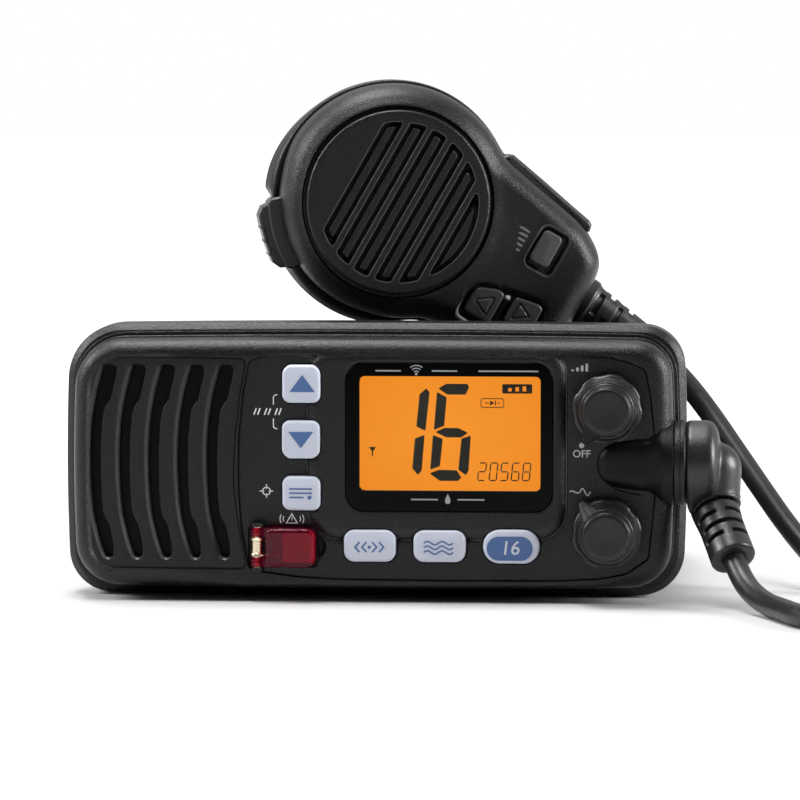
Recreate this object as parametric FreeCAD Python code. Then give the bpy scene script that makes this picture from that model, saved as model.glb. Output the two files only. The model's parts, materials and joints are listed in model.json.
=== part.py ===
import FreeCAD, Part
import math
import os

os.makedirs("parts", exist_ok=True)
V = FreeCAD.Vector

# ---- driving dimensions, mm. +Z up, the front of the radio faces -Y, the origin is under its middle ----
FLANGE_W, FLANGE_H = 154.0, 68.0      # rear flange of the front unit, the widest and tallest part
FRONT_W, FRONT_H = 147.6, 61.6        # front moulding, concentric with the flange
FLANGE_R, FRONT_R = 13.0, 11.0        # corner radii of the two
BOW_X, BOW_Z = 1.0, 0.7               # how far the sides and the top and bottom bow outwards
ZC = FLANGE_H / 2                     # height of the middle of the front
Y_RIM = -62.0                         # crest of the front rim
Y_FACE = -61.2                        # flat face that carries the keys
Y_IN = -58.9                          # inside of the face wall
Y_JOIN = -49.0                        # back of the front moulding
Y_FL0, Y_FL1 = -48.2, -36.0           # flange frame
Y_KNOB = -74.0                        # front of the knobs
Y_REAR = 74.0                         # end of the antenna connector
CH_X, CH_Z0, CH_Z1 = 66.0, 3.0, 51.5  # cast chassis half width, bottom and top
CH_Y0, CH_Y1, FIN_Y = -35.2, 56.0, 62.0
WALL = 2.5
CORD_D = 5.6                          # microphone cord diameter
KEY_TRAVEL = 1.0
MIC_R = 30.7                          # head radius of the hand microphone
MIC_T = 17.0                          # half thickness of the microphone
MIC_TAIL = 55.5                       # head centre to the end of the tail
MIC_ROLL, MIC_LEAN, MIC_YAW = 60.0, 0.0, 9.5
MIC_POS = (1.7, -10.2, 97.0)          # head centre of the stored microphone
COIL_C = (148.0, -90.0)               # middle of the put-away turns of cord
COIL_R = 32.0                         # mean radius of those turns


# routes of the cord's two free stretches, as the points that its line turns about
PLUG_CORD = [
    (88.6, -68.6, 11.9), (90.1, -71.9, 8.3), (92.8, -77.6, 4.9), (96.4, -85.2, 3.0), (100.2, -95.6, 2.8), (104.4, -108.9, 2.8),
    (116.2, -121.8, 2.8), (131.5, -129.7, 2.8), (148.0, -131.3, 2.8), (163.0, -126.3, 2.8),
]
MIC_CORD = [
    (64.6, 0.0, 61.5), (71.2, 1.4, 55.6), (79.9, -1.2, 46.4), (91.6, -13.6, 30.2), (105.2, -27.6, 11.6),
    (115.6, -37.6, 3.2), (128.4, -45.6, 2.8), (142.0, -50.5, 4.2), (155.0, -53.8, 8.2),
]


def box(x0, x1, y0, y1, z0, z1):
    return Part.makeBox(x1 - x0, y1 - y0, z1 - z0, V(x0, y0, z0))


def cyl(r, p, d, h):
    return Part.makeCylinder(r, h, V(*p), V(*d))


def safe(before, edges, r):
    """A fillet, or the shape as it was where the kernel can't make one."""
    try:
        s = before.makeFillet(r, edges)
        if s.isValid() and s.Solids and 0.6 * before.Volume < s.Volume <= 1.001 * before.Volume:
            return s
    except Exception:
        pass
    return before


def along(shape, axis):
    """Straight edges parallel to axis."""
    out = []
    for e in shape.Edges:
        if e.Curve.TypeId == "Part::GeomLine":
            d = e.tangentAt(e.FirstParameter)
            if abs(abs(d.dot(V(*axis))) - 1) < 1e-6:
                out.append(e)
    return out


def at_y(shape, y):
    return [e for e in shape.Edges if abs(e.BoundBox.YMin - y) < 1e-4 and abs(e.BoundBox.YMax - y) < 1e-4]


def rbox(cx, cz, w, h, r, y0, y1):
    """A block with its corners rounded about Y."""
    b = box(cx - w / 2, cx + w / 2, y0, y1, cz - h / 2, cz + h / 2)
    return b.makeFillet(r, along(b, (0, 1, 0)))


def bowed(w, h, bx, bz, rc, y0, y1):
    """A block whose four sides bow outwards in plan, corners rounded about Y."""
    x, z = w / 2, h / 2
    c = [V(-x + bx, y0, ZC - z + bz), V(x - bx, y0, ZC - z + bz), V(x - bx, y0, ZC + z - bz), V(-x + bx, y0, ZC + z - bz)]
    m = [V(0, y0, ZC - z), V(x, y0, ZC), V(0, y0, ZC + z), V(-x, y0, ZC)]
    e = [Part.Arc(c[i], m[i], c[(i + 1) % 4]).toShape() for i in range(4)]
    s = Part.Face(Part.Wire(e)).extrude(V(0, y1 - y0, 0))
    up = [k for k in s.Edges if abs(k.BoundBox.YLength - (y1 - y0)) < 0.5 and k.BoundBox.XLength < 0.5 and k.BoundBox.ZLength < 0.5]
    return s.makeFillet(rc, up)


def poly(points, y0, y1, r=0):
    """A prism along Y over (x, z) points."""
    p = [V(x, y0, z) for x, z in points]
    s = Part.Face(Part.makePolygon(p + [p[0]])).extrude(V(0, y1 - y0, 0))
    return safe(s, along(s, (0, 1, 0)), r) if r else s


def fuse(*s):
    out = s[0]
    for k in s[1:]:
        out = out.fuse(k)
    return out.removeSplitter()


def out(name, shape):
    if shape.ShapeType != "Solid" and len(shape.Solids) == 1:
        shape = shape.Solids[0]
    if not shape.isValid():
        shape.fix(0.01, 0.01, 0.1)
    print(f"{name:26s} valid {shape.isValid()} solids {len(shape.Solids)} volume {shape.Volume:9.1f}")
    shape.exportStep(f"parts/{name}.step")
    return shape


# ============ the front unit ============
# position and size of everything that sits in the face: x, z, width, height, corner radius
LENS = (19.0, 40.9, 50.8, 36.6, 4.6)
KEYS = {
    "key_channel_up": (-17.2, 53.7, 9.4, 9.2, 2.0),
    "key_channel_down": (-17.3, 40.2, 9.4, 9.2, 2.0),
    "key_menu": (-17.2, 26.9, 9.4, 8.4, 2.0),
    "key_scan": (-0.4, 14.1, 12.8, 7.9, 2.6),
    "key_dual": (16.7, 14.1, 12.8, 7.9, 2.6),
    "key_sixteen": (34.3, 14.1, 13.9, 8.4, 4.1),
}
VOL, SQL = (57.7, 48.1), (57.7, 17.6)
HELP = (-18.2, 13.7, 6.0, 6.8, 1.0)         # distress key under its flap
FLAP = (-29.2, -13.6, 8.9, 18.5)            # x0, x1, z0, z1 of the flap
PIN = (-28.0, -63.4)                        # x, y of the flap's vertical hinge pin
PLUG = (-56.0, 34.4)                        # y, z of the plug's axis, which runs along X

shell = bowed(FRONT_W, FRONT_H, BOW_X, BOW_Z, FRONT_R, Y_RIM, Y_JOIN)
shell = safe(shell, at_y(shell, Y_RIM), 4.2)
cavity = bowed(FRONT_W - 7, FRONT_H - 7, BOW_X, BOW_Z, FRONT_R - 3.4, Y_IN, Y_JOIN + 1)
panel = shell.cut(cavity)
speaker_field = [(-72.0, 54), (-69.5, 60.2), (-32, 60.4), (-33.4, 36), (-32, 7.6), (-69.0, 7.6), (-72.0, 11)]
control_field = [(-30.8, 60.2), (-15, 62.2), (50, 62.0), (65.4, 58.6), (68.0, 40), (68.0, 27.5), (66.6, 10.6), (50, 6.2), (-12, 5.2), (-30.8, 7.6), (-32.2, 36)]
panel = panel.cut(poly(speaker_field, Y_RIM - 1, Y_FACE)).cut(poly(control_field, Y_RIM - 1, Y_FACE))
island = rbox(LENS[0], LENS[1], 58.0, 42.2, 7.5, -62.4, Y_FACE + 0.5)
panel = fuse(panel, island)
# the raised neck that leads to the plug, and its round seat on the side
neck = fuse(cyl(7.0, (62.5, PLUG[0], PLUG[1]), (1, 0, 0), 9.5), Part.makeSphere(7.0, V(62.5, PLUG[0], PLUG[1])))
seat = cyl(10.5, (67.5, PLUG[0], PLUG[1]), (1, 0, 0), 4.0)
keep = box(50, 80, -80, Y_JOIN, 0, 68)
panel = fuse(panel, neck.common(keep), seat.common(keep))
panel = panel.cut(cyl(3.2, (60, PLUG[0], PLUG[1]), (1, 0, 0), 20))
panel = panel.cut(bowed(FRONT_W - 16, FRONT_H - 12, BOW_X, BOW_Z, 5, Y_IN, Y_JOIN + 1))
panel = panel.cut(rbox(LENS[0], LENS[1], LENS[2] + 0.2, LENS[3] + 0.2, LENS[4] + 0.1, -70, -50))
for x, z, w, h, r in list(KEYS.values()):
    panel = panel.cut(rbox(x, z, w + 0.5, h + 0.5, r + 0.2, -70, -50))
# pocket of the flap, with two lugs that hold its pin
panel = panel.cut(rbox(-21.2, 13.7, 18.2, 11.6, 1.4, -70, -60.0))
panel = panel.cut(cyl(3.0, (-12.6, -70, 13.7), (0, 1, 0), 10.0))
panel = panel.cut(rbox(HELP[0], HELP[1], HELP[2] + 0.5, HELP[3] + 0.5, 1.2, -70, -50))
for z in (7.7, 18.7):
    lug = fuse(box(PIN[0] - 1.5, PIN[0] + 1.5, PIN[1], -59.2, z, z + 1.0), cyl(1.5, (PIN[0], PIN[1], z), (0, 0, 1), 1.0))
    panel = fuse(panel, lug)
panel = panel.cut(cyl(0.9, (PIN[0], PIN[1], 7), (0, 0, 1), 14))
for x, z in (VOL, SQL):
    panel = panel.cut(cyl(3.6, (x, -70, z), (0, 1, 0), 20))
# five speaker slots: a bowed left edge, and a right edge that steps in over the middle
for i in range(5):
    dx = 7.22 * i
    a = Part.Arc(V(-67.6 + dx, -66, 58.0), V(-70.6 + dx, -66, 35.0), V(-67.0 + dx, -66, 10.4)).toShape()
    pts = [(-67.0, 10.4), (-64.4, 10.4), (-64.4, 18.0), (-67.2, 21.0), (-67.2, 46.6), (-64.8, 50.2), (-63.4, 57.0), (-64.4, 58.0), (-67.6, 58.0)]
    lines = [Part.LineSegment(V(p[0] + dx, -66, p[1]), V(q[0] + dx, -66, q[1])).toShape() for p, q in zip(pts[:-1], pts[1:])]
    slot = Part.Face(Part.Wire([a] + lines)).extrude(V(0, 12, 0))
    panel = panel.cut(slot)
front_panel = out("front_panel", panel)

gasket = bowed(FRONT_W - 3, FRONT_H - 3, BOW_X, BOW_Z, FRONT_R - 1.5, Y_JOIN, Y_FL0).cut(bowed(FRONT_W - 9, FRONT_H - 9, BOW_X, BOW_Z, FRONT_R - 4.5, Y_JOIN - 1, Y_FL0 + 1))
out("front_gasket", gasket)
fl = bowed(FLANGE_W, FLANGE_H, BOW_X, BOW_Z, FLANGE_R, Y_FL0, Y_FL1)
fl = safe(fl, at_y(fl, Y_FL0), 2.0)
fl = safe(fl, at_y(fl, Y_FL1), 1.5)
fl = fl.cut(bowed(FRONT_W - 7, FRONT_H - 7, BOW_X, BOW_Z, FRONT_R - 3.4, Y_FL0 - 1, -38.5))
fl = fl.cut(rbox(0, 27, 122, 41, 4, -40, -35))
EARS = [(sx * 70.3, z) for sx in (-1, 1) for z in (10.0, 45.0)]
for x, z in EARS:
    fl = fl.cut(cyl(1.5, (x, -42, z), (0, 1, 0), 8))
out("flange_frame", fl)

lens = rbox(*LENS, -62.5, -60.6)
out("display_window", safe(lens, at_y(lens, -62.5), 0.4))
out("lcd_glass", rbox(19.1, 41.7, 47.0, 31.0, 1.0, -60.4, -58.6))
out("lcd_light_guide", rbox(19.1, 41.7, 48.5, 32.6, 1.0, -58.4, -56.6))

for n, (x, z, w, h, r) in KEYS.items():
    top = rbox(x, z, w, h, r, -63.6, -57.7)
    top = safe(top, at_y(top, -63.6), 0.8)
    out(n, fuse(top, rbox(x, z, w + 1.8, h + 1.8, r, -58.7, -57.7)))
out("distress_key", fuse(rbox(*HELP, -62.6, -57.7), rbox(HELP[0], HELP[1], HELP[2] + 1.8, HELP[3] + 1.8, 1.0, -58.7, -57.7)))

x0, x1, z0, z1 = FLAP
flap = rbox((x0 + 3.4 + x1) / 2, (z0 + z1) / 2, x1 - x0 - 3.4, z1 - z0, 1.2, -66.0, -60.4)
flap = safe(flap, at_y(flap, -66.0), 0.9)
flap = flap.cut(rbox((x0 + 3.4 + x1) / 2, (z0 + z1) / 2, x1 - x0 - 5.6, z1 - z0 - 2.2, 0.6, -64.9, -60.0))
for za, zb in ((8.9, 11.1), (16.3, 18.5)):
    flap = fuse(flap, cyl(1.6, (PIN[0], PIN[1], za), (0, 0, 1), zb - za), box(PIN[0], x0 + 4.2, PIN[1] - 1.6, PIN[1] + 1.2, za, zb))
flap = flap.cut(cyl(0.96, (PIN[0], PIN[1], 5), (0, 0, 1), 20))
out("distress_flap", flap)
out("flap_hinge_pin", fuse(cyl(0.9, (PIN[0], PIN[1], 7.7), (0, 0, 1), 12.0), cyl(1.6, (PIN[0], PIN[1], 11.35), (0, 0, 1), 4.7)))

# rubber key mat, seven domes' worth of sheet behind the keys
mat = fuse(box(-24, -10.2, -56.5, -55.6, 7.6, 60.0), box(-10.2, 43.5, -56.5, -55.6, 7.6, 21.0))
out("key_mat", mat)
out("front_board", rbox(17.1, 34.0, 96.2, 50.6, 3.0, -55.4, -53.8))


def knob(cx, cz, angle):
    """A fluted skirt, a cone, a flat cap and a pointer; angle is the pointer's, from +X towards +Z."""
    k = fuse(
        cyl(8.6, (cx, -66.6, cz), (0, 1, 0), 5.0),
        Part.makeCone(6.4, 8.2, 3.6, V(cx, -70.2, cz), V(0, 1, 0)),
        cyl(5.3, (cx, Y_KNOB, cz), (0, 1, 0), 4.0),
    )
    a = math.radians(angle)
    for i in range(1, 8):
        b = a + i * math.pi / 4
        k = k.cut(cyl(2.2, (cx + 10.2 * math.cos(b), -68, cz + 10.2 * math.sin(b)), (0, 1, 0), 8))
    w = poly([(5.0, 2.6), (10.3, 0.7), (10.3, -0.7), (5.0, -2.6)], -67.6, -62.6)
    w.rotate(V(0, 0, 0), V(0, 1, 0), -angle)
    w.translate(V(cx, 0, cz))
    k = fuse(k, w)
    return k.cut(cyl(3.02, (cx, -72.5, cz), (0, 1, 0), 20))


out("volume_knob", knob(*VOL, 235.0))
out("squelch_knob", knob(*SQL, 130.0))
for n, (x, z) in {"volume": VOL, "squelch": SQL}.items():
    out(n + "_shaft", cyl(3.0, (x, -72.4, z), (0, 1, 0), 15.2))
pots = [box(x - 5.5, x + 5.5, -58.8, -55.45, z - 5.5, z + 5.5).cut(cyl(3.05, (x, -60, z), (0, 1, 0), 3.0)) for x, z in (VOL, SQL)]
out("potentiometers", Part.makeCompound(pots))
seals = [cyl(3.58, (x, -60.6, z), (0, 1, 0), 1.4).cut(cyl(3.06, (x, -61, z), (0, 1, 0), 3)) for x, z in (VOL, SQL)]
out("shaft_seals", Part.makeCompound(seals))

# loudspeaker behind the slots
SPX = -50.5
out("speaker_cloth", rbox(-51.35, 34.0, 36.7, 51.0, 8, -58.7, -58.2))
out("speaker_gasket", cyl(18.5, (SPX, -58.1, 34), (0, 1, 0), 1.2).cut(cyl(16.5, (SPX, -59, 34), (0, 1, 0), 4)))
basket = fuse(cyl(18.5, (SPX, -56.8, 34), (0, 1, 0), 1.2), Part.makeCone(17.5, 10, 6.0, V(SPX, -55.6, 34), V(0, 1, 0)), cyl(10, (SPX, -49.6, 34), (0, 1, 0), 5.0))
cone_air = Part.makeCone(16.6, 5.0, 5.4, V(SPX, -56.8, 34), V(0, 1, 0))
out("loudspeaker", basket.cut(cone_air))
cone = Part.makeCone(16.1, 5.2, 4.6, V(SPX, -56.7, 34), V(0, 1, 0)).cut(Part.makeCone(15.6, 4.4, 4.6, V(SPX, -57.1, 34), V(0, 1, 0)))
out("speaker_cone", cone)

# plug on the right-hand side
ring = cyl(10.5, (73.9, PLUG[0], PLUG[1]), (1, 0, 0), 2.9).cut(cyl(3.2, (70, PLUG[0], PLUG[1]), (1, 0, 0), 20))
ring = ring.cut(box(60, 90, Y_FL0 - 0.2, 0, 0, 68))
out("plug_collar", ring)
ARM = V(83.9, -57.2, 36.2)                    # top of the arm that turns down
B0, B1 = V(83.8, -58.05, 23.45), V(*PLUG_CORD[0])
el = fuse(
    cyl(10.1, (76.9, PLUG[0], PLUG[1]), (1, 0, 0), 6.6),
    Part.makeCone(10.1, 8.2, 1.6, V(83.5, PLUG[0], PLUG[1]), V(1, 0, 0)),
)
el = fuse(el, Part.makeSphere(6.6, ARM), Part.makeCylinder(6.6, (B0 - ARM).Length, ARM, B0 - ARM), Part.makeSphere(6.6, B0))
boot = Part.makeCone(6.4, 5.4, (B1 - B0).Length, B0, B1 - B0)
el = el.cut(boot).cut(Part.makeCylinder(9, 8, B0, B1 - B0))
el = el.cut(box(60, 100, Y_FL0 - 0.2, 0, 0, 68).common(box(60, 77.6, -70, 0, 0, 68)))
out("plug_elbow", el)
out("plug_boot", boot)

# ============ chassis and what it holds ============
ch = box(-CH_X, CH_X, CH_Y0, CH_Y1, CH_Z0, CH_Z1)
ch = safe(ch, along(ch, (0, 1, 0)), 4.0)
ch = ch.cut(box(-CH_X + WALL, CH_X - WALL, CH_Y0 - 1, CH_Y1 - WALL, CH_Z0 + WALL, CH_Z1 - WALL))
for x in (-54, 54):
    ch = fuse(ch, box(x - 5, x + 5, -30, 50, 0.0, CH_Z0 + 0.5))
for i in range(15):
    x = -59.2 + i * 5.4
    ch = fuse(ch, box(x - 1.0, x + 1.0, CH_Y1 - 0.5, FIN_Y, CH_Z0 + 3, CH_Z1 - 3))
for i in range(7):
    z = 12.5 + i * 5.0
    for sx in (-1, 1):
        y0 = 26.0
        ch = fuse(ch, box(min(sx * (CH_X - 0.5), sx * (CH_X + 1.6)), max(sx * (CH_X - 0.5), sx * (CH_X + 1.6)), y0, 50, z - 0.9, z + 0.9))
SIDE_Y, SIDE_Z = 8.0, 27.0
for sx in (-1, 1):
    ch = fuse(ch, cyl(9.0, (sx * (CH_X - 0.5), SIDE_Y, SIDE_Z), (sx, 0, 0), 3.0), cyl(5.0, (sx * (CH_X - 10), SIDE_Y, SIDE_Z), (sx, 0, 0), 9.5))
    ch = ch.cut(cyl(2.5, (sx * (CH_X - 7.5), SIDE_Y, SIDE_Z), (sx, 0, 0), 20))
for x, z in EARS:
    ear = box(min(x * 0.9, x * 1.0), max(x * 0.9, x * 1.0), CH_Y0, -31, z - 4, z + 4)
    ch = fuse(ch, ear, cyl(4, (x, CH_Y0, z), (0, 1, 0), 4.2)).cut(cyl(1.6, (x, -40, z), (0, 1, 0), 12))
ANT, PWR, DAT = (46.0, 27.5), (28.5, 16.0), (28.5, 39.0)
ch = ch.cut(cyl(8.2, (ANT[0], 50, ANT[1]), (0, 1, 0), 10)).cut(cyl(4.2, (PWR[0], 50, PWR[1]), (0, 1, 0), 10)).cut(cyl(4.2, (DAT[0], 50, DAT[1]), (0, 1, 0), 10))
# hanger screws go into blind holes in two pads under the top wall
HX, HY = 27.0, 21.5
for x in (HX - 8, HX + 8):
    ch = fuse(ch, cyl(3.5, (x, HY, CH_Z1 - 7), (0, 0, 1), 5.5)).cut(cyl(1.5, (x, HY, CH_Z1 - 6), (0, 0, 1), 8))
posts = [(-55, -28), (55, -28), (-55, 40), (55, 40)]
for x, y in posts:
    ch = fuse(ch, cyl(3.0, (x, y, CH_Z0 + WALL - 0.5), (0, 0, 1), 18.0 - CH_Z0 - WALL + 0.5))
out("rear_chassis", ch)
out("chassis_gasket", box(-CH_X + 0.6, CH_X - 0.6, -35.95, -35.25, CH_Z0 + 0.6, CH_Z1 - 0.6).cut(box(-CH_X + 3, CH_X - 3, -37, -34, CH_Z0 + 3, CH_Z1 - 3)))
out("case_screws", Part.makeCompound([fuse(cyl(1.48, (x, -41.5, z), (0, 1, 0), 10.5), cyl(2.9, (x, -31, z), (0, 1, 0), 2.2)).cut(box(x - 2, x + 2, -29.6, -28, z - 0.4, z + 0.4)) for x, z in EARS]))

out("main_board", box(-60, 60, -33.0, 46, 18.0, 19.6))
out("board_screws", Part.makeCompound([cyl(2.4, (x, y, 19.6), (0, 0, 1), 1.8) for x, y in posts]))
can = box(-34, 6, -22, 16, 19.6, 27).cut(box(-33.4, 5.4, -21.4, 15.4, 19, 26.4))
out("shield_can", can)
out("power_amplifier", box(14, 48, 26, 40, 19.6, 26))
out("ribbon_cable", box(-12, 12, -53.7, -34.0, 12.6, 13.2))

ant = fuse(box(ANT[0] - 11, ANT[0] + 11, CH_Y1, CH_Y1 + 1.8, ANT[1] - 11, ANT[1] + 11), cyl(7.94, (ANT[0], CH_Y1 + 1.8, ANT[1]), (0, 1, 0), Y_REAR - CH_Y1 - 1.8), cyl(6.5, (ANT[0], 50, ANT[1]), (0, 1, 0), 6.5))
ant = ant.cut(cyl(5.6, (ANT[0], Y_REAR - 9, ANT[1]), (0, 1, 0), 12))
out("antenna_connector", ant)
out("antenna_insulator", cyl(5.55, (ANT[0], Y_REAR - 9, ANT[1]), (0, 1, 0), 7.0).cut(cyl(2.0, (ANT[0], Y_REAR - 7, ANT[1]), (0, 1, 0), 8)))
glands = []
for x, z in (PWR, DAT):
    g = fuse(cyl(4.1, (x, 52.0, z), (0, 1, 0), 4.0), cyl(5.6, (x, CH_Y1, z), (0, 1, 0), 3.0), Part.makeCone(5.2, 3.8, 6.0, V(x, CH_Y1 + 3, z), V(0, 1, 0)))
    glands.append(g.cut(cyl(2.4, (x, 50, z), (0, 1, 0), 30)))
out("lead_glands", Part.makeCompound(glands))

# ============ the hand microphone, built upright about its head centre, then set in place ============
rot = FreeCAD.Rotation(V(0, 0, 1), MIC_YAW).multiply(FreeCAD.Rotation(V(1, 0, 0), -MIC_LEAN))
roll = rot.multiply(FreeCAD.Rotation(V(0, -1, 0), MIC_ROLL))
place = FreeCAD.Placement(V(*MIC_POS), roll)
stand = FreeCAD.Placement(V(*MIC_POS), rot)


def put(shape, where=None):
    return shape.transformed((where or place).toMatrix())


def mic_block(inset, y0, y1):
    """The microphone's plan, drawn in by inset: a round head over a body that narrows to the tail."""
    r = MIC_R - inset
    pts = [(-27.4, 12), (-24.2, -16), (-19.4, -45), (-13, -MIC_TAIL), (13, -MIC_TAIL), (19.4, -45), (24.2, -16), (27.4, 12)]
    pts = [(x - math.copysign(inset, x), z + (inset if z < -20 else 0)) for x, z in pts]
    body = poly(pts, y0, y1, 5.0 if inset < 6 else 2.0)
    return fuse(cyl(r, (0, y0, 0), (0, 1, 0), y1 - y0), body)


front = fuse(mic_block(0.8, -8.0, -0.4), mic_block(3.0, -12.0, -8.0), mic_block(5.6, -14.2, -12.0))
front = fuse(front, cyl(25.2, (0, -15.6, 0), (0, 1, 0), 3.0))
front = front.cut(mic_block(3.2, -5.5, 0.5)).cut(mic_block(7.5, -12.2, -5.0))
front = front.cut(cyl(23.4, (0, -20, 0), (0, 1, 0), 6.2))
front = front.cut(cyl(20.5, (0, -20, 0), (0, 1, 0), 12))
MKEYS = {"mic_power_key": (8.4, -38.6, 9.0, 6.6, 1.6), "mic_up_key": (-10.6, -32.2, 8.6, 8.0, 1.6), "mic_down_key": (-9.2, -42.2, 8.6, 8.0, 1.6)}
for x, z, w, h, r in MKEYS.values():
    front = front.cut(rbox(x, z, w + 0.5, h + 0.5, r + 0.2, -20, -5))
PTT_A = math.radians(136.0)


def ptt_block(r0, r1, t, w):
    """A bar across the direction of the push-to-talk key, from r0 to r1 out, 2w long and 2t thick."""
    b = Part.makeBox(r1 - r0, 2 * t, 2 * w, V(r0, -t, -w))
    b.rotate(V(0, 0, 0), V(0, 1, 0), -math.degrees(PTT_A))
    return b


ptt_hole = ptt_block(22, 40, 5.9, 9.3)
front = front.cut(ptt_hole)
out("mic_front_shell", put(front))
rear = fuse(mic_block(0.0, 0.0, 6.0), mic_block(2.6, 6.0, 11.0), mic_block(7.0, 11.0, MIC_T))
rear = rear.cut(mic_block(2.6, -1, 5.0)).cut(mic_block(5.4, 4.0, 9.6)).cut(mic_block(9.0, 9.0, 14.0)).cut(ptt_hole)
rear = rear.cut(cyl(3.0, (0, 10, 0), (0, 1, 0), 10))
MSC = [(-15.5, 11.5), (15.5, 11.5), (-8.6, -42.0), (8.6, -42.0)]
for x, z in MSC:
    rear = rear.cut(cyl(2.6, (x, MIC_T - 1.6, z), (0, 1, 0), 5)).cut(cyl(1.3, (x, 8, z), (0, 1, 0), 12))
out("mic_rear_shell", put(rear))
out("mic_screws", Part.makeCompound([put(fuse(cyl(2.5, (x, MIC_T - 1.6, z), (0, 1, 0), 1.4), cyl(1.25, (x, 9.0, z), (0, 1, 0), MIC_T - 1.6 - 9.0))) for x, z in MSC]))
disc = cyl(23.2, (0, -16.6, 0), (0, 1, 0), 2.6)
for i, half in enumerate((9.0, 14.5, 16.8, 17.2, 16.0, 13.0, 7.5)):
    z = 15.6 - i * 5.2
    half = math.sqrt(max(18.6 ** 2 - z * z, 1)) - 0.8
    disc = disc.cut(rbox(0, z, 2 * half, 2.2, 1.0, -20, -10))
out("mic_grille", put(disc))
out("mic_cloth", put(cyl(20.2, (0, -13.7, 0), (0, 1, 0), 0.4)))
out("mic_element", put(fuse(cyl(19.6, (0, -13.0, 0), (0, 1, 0), 2.0), cyl(11, (0, -11.0, 0), (0, 1, 0), 5.0))))
out("mic_board", put(poly([(-15, -26), (-12.4, -47.5), (12.4, -47.5), (15, -26)], -5.4, -3.8)))
for n, (x, z, w, h, r) in MKEYS.items():
    k = rbox(x, z, w, h, r, -15.0, -9.6)
    k = safe(k, at_y(k, -15.0), 0.6)
    out(n, put(k))
ptt = ptt_block(26.0, 34.6, 5.6, 9.0)
ptt = safe(ptt, [e for e in ptt.Edges if abs(V(*[c for c in e.CenterOfMass]).Length) > 33.6], 1.6)
out("ptt_key", put(ptt))
pad = poly([(23.6, -18.2), (25.2, -19.6), (20.8, -46.2), (19.0, -46.8)], -5.0, 4.5)
out("mic_side_pad", put(pad.cut(mic_block(-0.05, -6, 8)).cut(rear).cut(front)))
out("mic_stud", put(fuse(cyl(2.98, (0, 11.5, 0), (0, 1, 0), 9.1), cyl(6.5, (0, 20.6, 0), (0, 1, 0), 2.2))))
# strain relief of the microphone's tail: straight out of the tail, then bent a little downwards
M0 = place.multVec(V(2.2, 1.0, -MIC_TAIL + 1.0))
M1 = V(*MIC_CORD[0])
mdir = (M1 - M0).normalize()
out("mic_boot", Part.makeCone(6.0, 4.0, (M1 - M0).Length - 0.8, M0, mdir).cut(put(mic_block(0, -20, 20))))

# hanger: a plate with an open slot that takes the stud, on a foot screwed to the chassis
plate = poly([(-12, 9.5), (12, 9.5), (13.5, -6), (34.5, -27), (34.5, -48), (18.0, -48), (18.0, -33), (-12, -12)], 17.7, 19.9)
plate = safe(plate, along(plate, (0, 1, 0)), 3.0)
plate = plate.cut(cyl(3.3, (0, 15, 0), (0, 1, 0), 8)).cut(box(-3.3, 3.3, 15, 23, 0, 20))
plate = put(plate, stand)
plate = plate.cut(box(-100, 100, -100, 100, -20, CH_Z1))
foot = box(HX - 13, HX + 13, HY - 12.5, HY + 6.5, CH_Z1, CH_Z1 + 2.2)
foot = safe(foot, [e for e in along(foot, (0, 0, 1)) if e.CenterOfMass.y > HY], 3.0)
hang = fuse(plate, foot)
for x in (HX - 8, HX + 8):
    hang = hang.cut(cyl(1.7, (x, HY, CH_Z1 - 1), (0, 0, 1), 6))
out("mic_hanger", hang)
out("hanger_screws", Part.makeCompound([fuse(cyl(1.48, (x, HY, CH_Z1 - 5.5), (0, 0, 1), 7.7), cyl(3.0, (x, HY, CH_Z1 + 2.2), (0, 0, 1), 1.8)) for x in (HX - 8, HX + 8)]))
print("M0", M0, "M1", M1, "mic dir", mdir, "boot end", B1)


# ============ the cord: two free stretches and the put-away turns between them ============
def tube(name, pts, d):
    """A round tube along straight runs joined by tangent arcs."""
    p = [V(*q) for q in pts]
    edges, cur = [], p[0]
    for i in range(1, len(p) - 1):
        a, b = p[i] - p[i - 1], p[i + 1] - p[i]
        turn = a.getAngle(b)
        cut = 0.45 * min(a.Length, b.Length)
        r = cut / math.tan(turn / 2)
        print(f"{name} point {i}: run {a.Length:.1f} then {b.Length:.1f}, turn {math.degrees(turn):.1f}, radius {r:.1f} = {r / d:.1f} d")
        a.normalize(), b.normalize()
        s, e = p[i] - a * cut, p[i] + b * cut
        c = (b - a).normalize()
        m = p[i] + c * (r / math.cos(turn / 2) - r)
        edges += [Part.LineSegment(cur, s).toShape(), Part.Arc(s, m, e).toShape()]
        cur = e
    edges.append(Part.LineSegment(cur, p[-1]).toShape())
    path = Part.Wire(edges)
    t = p[1] - p[0]
    prof = Part.Wire(Part.makeCircle(d / 2, p[0], t))
    s = path.makePipeShell([prof], True, False)
    print(f"{name} length {path.Length:.1f}, volume over section times length {s.Volume / (math.pi * d * d / 4 * path.Length):.4f}")
    return s


out("cord_plug_lead", tube("cord_plug_lead", PLUG_CORD, CORD_D))
out("cord_mic_lead", tube("cord_mic_lead", MIC_CORD, CORD_D))
R0, R1 = COIL_R - CORD_D / 2, COIL_R + CORD_D / 2
out("cord_coil", cyl(R1 + CORD_D / 2 + 0.2, (COIL_C[0], COIL_C[1], 0), (0, 0, 1), 2 * CORD_D).cut(cyl(R0 - CORD_D / 2 - 0.2, (COIL_C[0], COIL_C[1], -1), (0, 0, 1), 20)))
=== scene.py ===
import bpy, bmesh, math, json
import numpy as np
from mathutils import Vector, Matrix
from mathutils.geometry import delaunay_2d_cdt


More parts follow.
